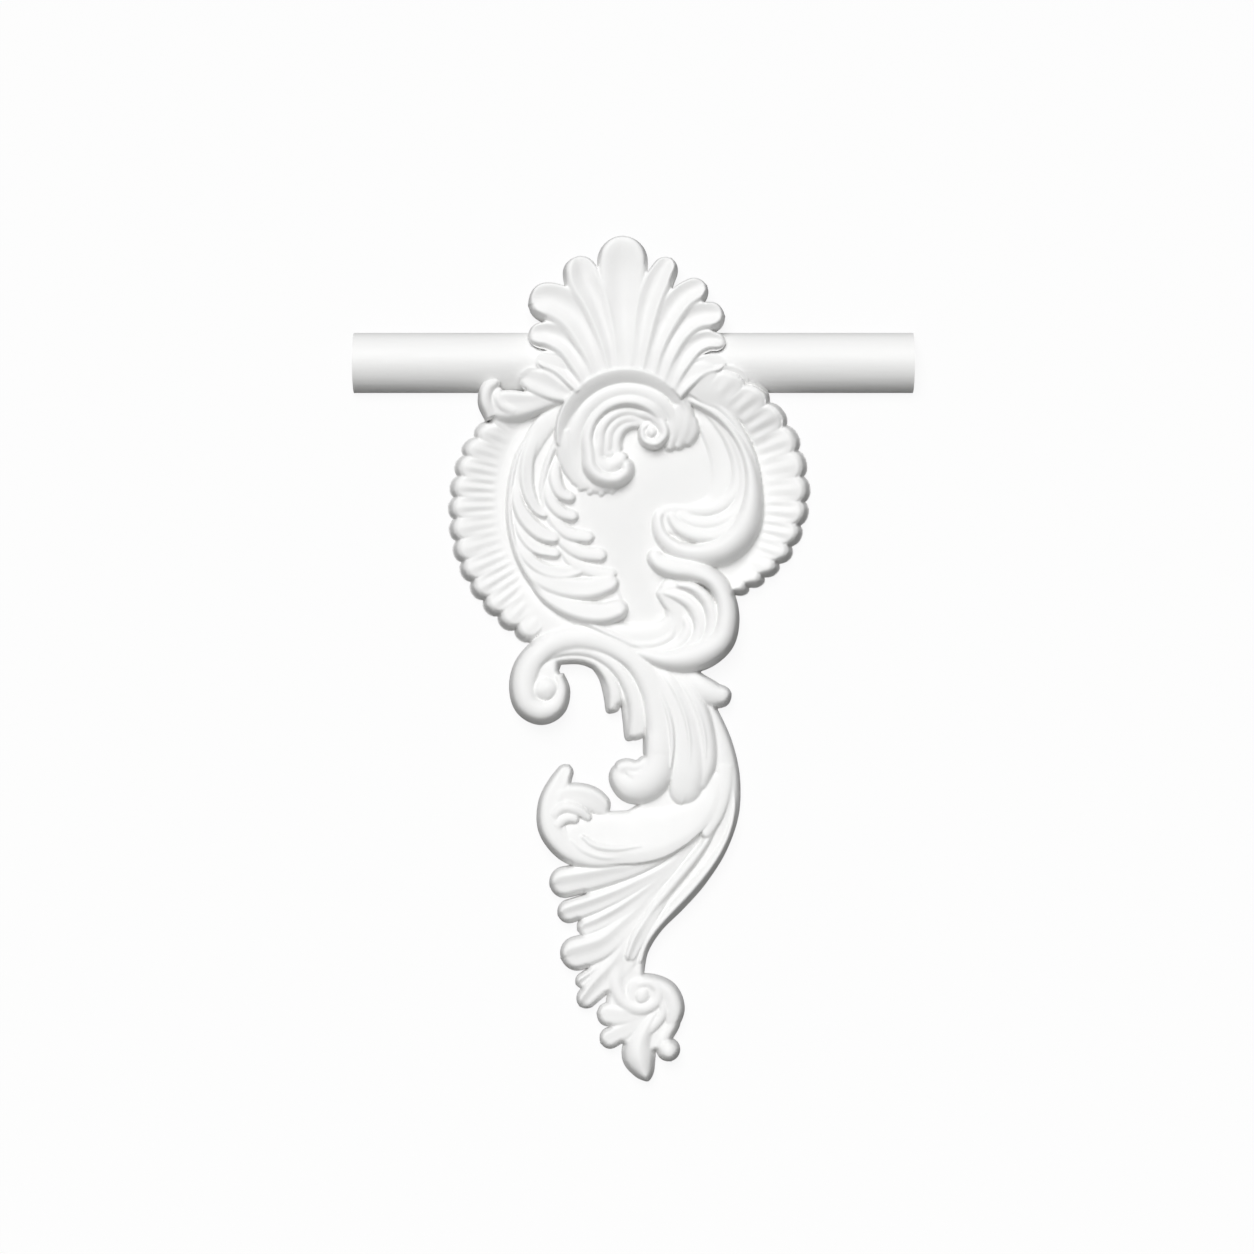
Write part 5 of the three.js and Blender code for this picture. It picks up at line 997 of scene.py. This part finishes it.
def half_round(name, low, high):
    """A half-round bar with its flat side on the wall, from its box in metres."""
    radius, axis = (high.z - low.z) / 2, (high.z + low.z) / 2
    turn = np.linspace(0, math.pi, PROFILE_STEPS + 1)
    profile = [(-radius * math.sin(a), axis + radius * math.cos(a)) for a in turn]
    profile[0], profile[-1] = (-EASED, high.z), (-EASED, low.z)
    profile += [(0.0, low.z + EASED), (0.0, high.z - EASED)]
    stations = np.linspace(low.x, high.x, LENGTH_STEPS + 1)
    points = [(x, y, z) for x in stations for y, z in profile]
    n = len(profile)
    faces = [(s * n + k, s * n + (k + 1) % n, (s + 1) * n + (k + 1) % n, (s + 1) * n + k)
             for s in range(LENGTH_STEPS) for k in range(n)]
    faces += [tuple(range(n))[::-1], tuple(LENGTH_STEPS * n + k for k in range(n))]
    mesh = bpy.data.meshes.new(name)
    mesh.from_pydata(points, [], faces)
    mesh.update()
    mesh.shade_smooth()
    mesh.set_sharp_from_angle(angle=math.radians(END_ANGLE))
    return in_scene(name, mesh)


moulding = half_round("painted_half_round_moulding", MOULDING_LOW, MOULDING_HIGH)
print(f"moulding is {(MOULDING_HIGH.x - MOULDING_LOW.x) * MM:.1f} mm long")

# %% Hang both pieces on the frame
for piece, node, finish_slot in ((applique, "scroll_applique", "white_cast"),
                                 (moulding, "half_round_moulding", "white_paint")):
    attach(piece, "root")
    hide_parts(node)
print("pieces hung:", applique.name, moulding.name)

# %% [markdown]
# ## Shared effects
# Both pieces are white, but neither is a flat white. Two effects are shared and made once as node
# groups: a skin of paint that is never quite level, whose waves also vary the sheen, and a greyer
# tone in the hollows, partly dust and partly painted shade, with cleaner crowns. They work from the
# object's own coordinates and from what is stored on its mesh, so they stay put from every side.

# %% Helper to start a node group
def start_group(name, inputs, outputs):
    """A shader node group with named sockets. Each input is (name, kind, default)."""
    group = bpy.data.node_groups.new(name, "ShaderNodeTree")
    for label, kind, default in inputs:
        socket = group.interface.new_socket(label, in_out="INPUT", socket_type="NodeSocket" + kind)
        if default is not None:
            socket.default_value = default
    for label, kind in outputs:
        group.interface.new_socket(label, in_out="OUTPUT", socket_type="NodeSocket" + kind)
    ends = group.nodes.new("NodeGroupInput"), group.nodes.new("NodeGroupOutput")
    ends[0].location, ends[1].location = (-900, 0), (500, 0)
    return group, ends[0], ends[1]


def add(tree, kind, at, **values):
    """Adds a node at a place in the editor and sets its properties and input values."""
    node = tree.nodes.new("ShaderNode" + kind)
    node.location = at
    for key, value in values.items():
        if hasattr(node, key):
            setattr(node, key, value)
        else:
            node.inputs[key.replace("_", " ")].default_value = value
    return node


def wire(tree, pairs):
    """Links each output to its input."""
    for output, target in pairs:
        tree.links.new(output, target)


# %% Paint skin: gentle waves and fine grain
skin, skin_in, skin_out = start_group(
    "paint_skin",
    [("Place", "Vector", None), ("Wave size", "Float", 90.0), ("Grain size", "Float", 1500.0),
     ("Grain share", "Float", 0.25)],
    [("Height", "Float"), ("Wave", "Float")])
wave = add(skin, "TexNoise", (-650, 150), Detail=2.0, Roughness=0.5)
grain = add(skin, "TexNoise", (-650, -150), Detail=3.0, Roughness=0.6)
mixed = add(skin, "Mix", (200, 0), data_type="FLOAT")
for label, noise in (("Wave size", wave), ("Grain size", grain)):
    skin.links.new(skin_in.outputs["Place"], noise.inputs["Vector"])
    skin.links.new(skin_in.outputs[label], noise.inputs["Scale"])
skin.links.new(skin_in.outputs["Grain share"], mixed.inputs[0])
skin.links.new(wave.outputs["Fac"], mixed.inputs[2])
skin.links.new(grain.outputs["Fac"], mixed.inputs[3])
skin.links.new(mixed.outputs[0], skin_out.inputs["Height"])
skin.links.new(wave.outputs["Fac"], skin_out.inputs["Wave"])
print("group", skin.name, "has", len(skin.nodes), "nodes")

# %% Painted shade and dust in hollows, cleaner crowns
# The dust colour greys the hollows: partly real dust, partly painted shade for the soft shadow
# there.
tone, tone_in, tone_out = start_group(
    "shade_dust_and_wear_tone",
    [("Hollow", "Float", 0.0), ("Crown", "Float", 0.0), ("Unevenness", "Float", 0.5),
     ("Paint", "Color", (0.86, 0.86, 0.855, 1)), ("Shade and dust", "Color", (0.6, 0.59, 0.57, 1)),
     ("Worn", "Color", (0.9, 0.9, 0.895, 1)), ("Shade and dust share", "Float", 0.35),
     ("Worn share", "Float", 0.4)],
    [("Color", "Color")])
patchy = add(tone, "MapRange", (-650, 200), From_Min=0.3, From_Max=0.7, To_Min=0.6, To_Max=1.0)
patchy_shade_and_dust = add(tone, "Math", (-450, 150), operation="MULTIPLY")
shade_and_dust_amount = add(tone, "Math", (-250, 150), operation="MULTIPLY")
worn_amount = add(tone, "Math", (-250, -150), operation="MULTIPLY")
shade_and_dust_mix = add(tone, "Mix", (0, 100), data_type="RGBA")
worn_mix = add(tone, "Mix", (250, 0), data_type="RGBA")
wire(tone, ((tone_in.outputs["Unevenness"], patchy.inputs["Value"]),
            (patchy.outputs["Result"], patchy_shade_and_dust.inputs[0]),
            (tone_in.outputs["Hollow"], patchy_shade_and_dust.inputs[1]),
            (patchy_shade_and_dust.outputs[0], shade_and_dust_amount.inputs[0]),
            (tone_in.outputs["Shade and dust share"], shade_and_dust_amount.inputs[1]),
            (tone_in.outputs["Crown"], worn_amount.inputs[0]),
            (tone_in.outputs["Worn share"], worn_amount.inputs[1]),
            (shade_and_dust_amount.outputs[0], shade_and_dust_mix.inputs[0]),
            (tone_in.outputs["Paint"], shade_and_dust_mix.inputs[6]),
            (tone_in.outputs["Shade and dust"], shade_and_dust_mix.inputs[7]),
            (worn_amount.outputs[0], worn_mix.inputs[0]),
            (shade_and_dust_mix.outputs[2], worn_mix.inputs[6]),
            (tone_in.outputs["Worn"], worn_mix.inputs[7]),
            (worn_mix.outputs[2], tone_out.inputs["Color"])))
print("group", tone.name, "has", len(tone.nodes), "nodes")

# %% [markdown]
# ## The finish of the two pieces
# The casting has a matt primer over fine-grained foam: slightly uneven, rough, with dust and
# painted shade greying its hollows. The moulding has a coat of brushed paint, a little smoother,
# with faint streaks along its length. The shader itself stays in each material, and the groups feed
# its colour, roughness and bump.

# %% Put a group into a material
def place_group(tree, group, at, **values):
    """Places a node group and sets its inputs, with underscores for spaces."""
    node = tree.nodes.new("ShaderNodeGroup")
    node.node_tree = group
    node.location = at
    for key, value in values.items():
        node.inputs[key.replace("_", " ")].default_value = value
    return node


# %% Write a white finish
def new_material(name):
    """A material, its node tree and its shader."""
    material = bpy.data.materials.new(name)
    material.use_nodes = True
    return material, material.node_tree, material.node_tree.nodes["Principled BSDF"]


def white_finish(name, stretch, roughness, bump, skin_values, tone_values):
    """A painted white material: `roughness` is its range and `bump` the paint's depth in metres."""
    material, tree, shader = new_material(name)
    shader.inputs["Specular IOR Level"].default_value = 0.35
    place = add(tree, "TexCoord", (-1300, 0))
    lengthen = add(tree, "Mapping", (-1100, 0))
    lengthen.inputs["Scale"].default_value = stretch
    skin_node = place_group(tree, skin, (-850, -100), **skin_values)
    hollow = add(tree, "Attribute", (-850, 350), attribute_name="hollow")
    crown = add(tree, "Attribute", (-850, 200), attribute_name="crown")
    # the hollow attribute greys the colour here: dust and painted shade
    tone_node = place_group(tree, tone, (-450, 200), **tone_values)
    rough = add(tree, "MapRange", (-450, -100), From_Min=0.3, From_Max=0.7,
                To_Min=roughness[0], To_Max=roughness[1])
    relief = add(tree, "Bump", (-450, -350), Distance=bump, Strength=1.0)
    wire(tree, ((place.outputs["Object"], lengthen.inputs["Vector"]),
                (lengthen.outputs["Vector"], skin_node.inputs["Place"]),
                (hollow.outputs["Fac"], tone_node.inputs["Hollow"]),
                (crown.outputs["Fac"], tone_node.inputs["Crown"]),
                (skin_node.outputs["Wave"], tone_node.inputs["Unevenness"]),
                (skin_node.outputs["Wave"], rough.inputs["Value"]),
                (skin_node.outputs["Height"], relief.inputs["Height"]),
                (tone_node.outputs["Color"], shader.inputs["Base Color"]),
                (rough.outputs["Result"], shader.inputs["Roughness"]),
                (relief.outputs["Normal"], shader.inputs["Normal"])))
    return material


# %% Finish the casting and the moulding
# The dust colours below grey the hollows: part dust, part painted shade.
cast_white = white_finish(
    "matt_primed_casting", (1, 1, 1), (0.52, 0.66), 0.00022,
    {"Wave_size": 85.0, "Grain_size": 1400.0, "Grain_share": 0.22},
    {"Paint": (0.87, 0.87, 0.865, 1), "Shade and dust": (0.66, 0.655, 0.64, 1),
     "Worn": (0.9, 0.9, 0.895, 1), "Shade_and_dust_share": 0.35, "Worn_share": 0.5})
brushed_white = white_finish(
    "brushed_white_paint", (0.12, 1, 1), (0.46, 0.58), 0.00012,
    {"Wave_size": 260.0, "Grain_size": 1800.0, "Grain_share": 0.15},
    {"Paint": (0.87, 0.87, 0.865, 1), "Shade and dust": (0.7, 0.695, 0.68, 1),
     "Worn": (0.9, 0.9, 0.895, 1), "Shade_and_dust_share": 0.3, "Worn_share": 0.4})
for piece, material in ((applique, cast_white), (moulding, brushed_white)):
    piece.data.materials.clear()
    piece.data.materials.append(material)
print("materials:", [m.name for m in bpy.data.materials if m.users])

# %% [markdown]
# ## The wall and the floor
# The ornament hangs on a plain pale wall. The wall has an opening behind the piece, a little smaller
# than its outline, and shows only from its front, so that the flat back can be seen from behind. The
# floor lies well below and gives the light something to bounce from.

# %% Pale stage materials
def stage_shader(tree, at, colour):
    """A matt shader without gloss for the stage."""
    shader = add(tree, "BsdfDiffuse", at)
    shader.inputs["Color"].default_value = colour
    return shader


def pale_wall(name, glow, shade, bounce):
    """A white backdrop: to the camera it glows by `glow` and takes shadows with `shade`, to other
    rays it is a grey of `bounce`, and it isn't seen from behind."""
    material, tree, shader = new_material(name)
    tree.nodes.remove(shader)
    emission = add(tree, "Emission", (-600, 200), Strength=glow)
    taking = stage_shader(tree, (-600, 50), (shade, shade, shade, 1))
    seen = add(tree, "AddShader", (-350, 150))
    other = stage_shader(tree, (-350, -50), (bounce, bounce, bounce, 1))
    path = add(tree, "LightPath", (-350, 500))
    front = add(tree, "MixShader", (-100, 100))
    clear = add(tree, "BsdfTransparent", (-100, -100))
    facing = add(tree, "NewGeometry", (-100, 400))
    either = add(tree, "MixShader", (150, 50))
    surface = tree.nodes["Material Output"].inputs["Surface"]
    wire(tree, ((emission.outputs[0], seen.inputs[0]), (taking.outputs[0], seen.inputs[1]),
                (path.outputs["Is Camera Ray"], front.inputs[0]),
                (other.outputs[0], front.inputs[1]), (seen.outputs[0], front.inputs[2]),
                (facing.outputs["Backfacing"], either.inputs[0]),
                (front.outputs[0], either.inputs[1]), (clear.outputs[0], either.inputs[2]),
                (either.outputs[0], surface)))
    return material


def pale_floor(name, colour):
    """A plain matt floor."""
    material, tree, shader = new_material(name)
    tree.nodes.remove(shader)
    tree.links.new(stage_shader(tree, (0, 0), colour).outputs[0],
                   tree.nodes["Material Output"].inputs["Surface"])
    return material


# %% The wall with its opening
# A hair in front of the flat back, so that the back stays lit where the wall overlaps it
WALL_AT, OPENING_MARGIN, WALL_REACH = -0.0003, 3.0, 3.2      # m, mm, m
WALL_CELL, NEAR_WALL = 2.4, 12.0                             # mm


def square(reach):
    """The corners of a square round the middle, in turn."""
    return [(-reach, -reach), (reach, -reach), (reach, reach), (-reach, reach)]


def wall_with_opening():
    """A flat wall behind the piece, open where both pieces together cover it."""
    left, right = MOULDING_LOW.x * MM, MOULDING_HIGH.x * MM
    across = np.arange(left - NEAR_WALL, right + NEAR_WALL, WALL_CELL)
    up = np.arange(LOW[1] - NEAR_WALL, HIGH[1] + NEAR_WALL, WALL_CELL)
    rows = np.array([np.interp(across, u, row, left=FAR_OUT, right=FAR_OUT) for row in inside_by])
    own = np.stack([np.interp(up, v, column, left=FAR_OUT, right=FAR_OUT) for column in rows.T], 1)
    rail = np.minimum(np.minimum(across - left, right - across)[None, :],
                      (RAIL_RADIUS - np.abs(up - RAIL_AXIS))[:, None])
    covered = np.maximum(own, rail)
    corners, _, triangles, _ = cut_grid(OPENING_MARGIN - covered, across, up)
    points = [(x / MM, WALL_AT, z / MM) for x, z in corners]
    faces = [tuple(face) for face in triangles]
    near = [(x / MM, z / MM) for x, z in ((across[0], up[0]), (across[-1], up[0]),
                                              (across[-1], up[-1]), (across[0], up[-1]))]
    start = len(points)
    points += [(x, WALL_AT, z) for x, z in square(WALL_REACH) + near]
    faces += [(start + k, start + (k + 1) % 4, start + 4 + (k + 1) % 4, start + 4 + k)
              for k in range(4)]
    mesh = bpy.data.meshes.new("wall")
    mesh.from_pydata(points, [], faces)
    mesh.update()
    mesh.validate()
    return in_scene("wall", mesh)


backdrop = wall_with_opening()
backdrop.data.materials.append(pale_wall("pale_wall", glow=0.892, shade=0.09, bounce=0.2))
print(f"wall has {len(backdrop.data.polygons)} faces")

# %% The floor
FLOOR_LEVEL, FLOOR_REACH = -1.5, 3.2                         # m
floor_mesh = bpy.data.meshes.new("floor")
floor_mesh.from_pydata([(x, y, FLOOR_LEVEL) for x, y in square(FLOOR_REACH)], [], [(0, 1, 2, 3)])
floor = in_scene("floor", floor_mesh)
floor_mesh.materials.append(pale_floor("pale_floor", (0.5, 0.5, 0.49, 1)))
print(f"floor lies {-FLOOR_LEVEL} m below the fan's centre")

# %% [markdown]
# ## Light from above
# White carving on a white wall reads by shade alone. In the photograph the light is broad and comes
# from above and in front: the faces are nearly as bright as the wall, and what looks down is
# mid grey. One broad distant light does that, with a weak even light from all sides so that the
# deepest hollows still show. A softbox behind the wall lights the back.

# %% Lights
def soft_light(name, at, aim, size, power):
    """A square area light that looks from `at` to `aim`, in metres and watts."""
    lamp = bpy.data.lights.new(name, "AREA")
    lamp.shape, lamp.size, lamp.energy = "SQUARE", size, power
    holder = in_scene(name, lamp)
    holder.location = at
    holder.rotation_euler = (Vector(aim) - Vector(at)).to_track_quat("-Z", "Y").to_euler()


def broad_light(name, height, side, width, strength):
    """A distant light from in front of the wall, `width` degrees across."""
    lamp = bpy.data.lights.new(name, "SUN")
    lamp.energy, lamp.angle = strength, math.radians(width)
    holder = in_scene(name, lamp)
    holder.rotation_euler = (math.radians(90 - height), 0, math.radians(side))


WINDOW_HEIGHT, WINDOW_SIDE = 27.0, -8.0                     # degrees above and beside the camera
WINDOW_WIDTH, WINDOW_STRENGTH, EVEN_STRENGTH = 40.0, 3.1, 0.075
broad_light("high_window", WINDOW_HEIGHT, WINDOW_SIDE, WINDOW_WIDTH, WINDOW_STRENGTH)
soft_light("rear_softbox", (0.8, 2.0, 1.2), (0, 0, -0.1), 1.5, 40.0)
world = bpy.data.worlds.new("even_light")
world.use_nodes = True
background = world.node_tree.nodes["Background"]
background.inputs["Color"].default_value = (1, 1, 1, 1)
background.inputs["Strength"].default_value = EVEN_STRENGTH
bpy.context.scene.world = world
bpy.context.scene.view_settings.view_transform = "Standard"

# %% [markdown]
# ## The camera
# The photograph looks straight at the wall from some way off. Its frame is 1254 pixels square, and
# a pixel is two thirds of a millimetre on the wall. The lens follows from the width that it covers.

# %% Camera
MM_PER_PIXEL, IMAGE_SIZE = 2 / 3, 1254
DISC_CENTRE_PIXEL = (630, 500)
CAMERA_DISTANCE, SENSOR = 2.6, 36.0                         # m from the wall, mm
half_frame = IMAGE_SIZE / 2
camera_data = bpy.data.cameras.new("front_camera")
camera_data.sensor_width = SENSOR
camera_data.lens = SENSOR * CAMERA_DISTANCE / (IMAGE_SIZE * MM_PER_PIXEL / MM)
camera = in_scene("front_camera", camera_data)
camera.location = ((half_frame - DISC_CENTRE_PIXEL[0]) * MM_PER_PIXEL / MM, -CAMERA_DISTANCE,
                   (DISC_CENTRE_PIXEL[1] - half_frame) * MM_PER_PIXEL / MM)
camera.rotation_euler = (math.radians(90), 0, 0)
bpy.context.scene.camera = camera
print(f"lens {camera_data.lens:.1f} mm at {CAMERA_DISTANCE} m")
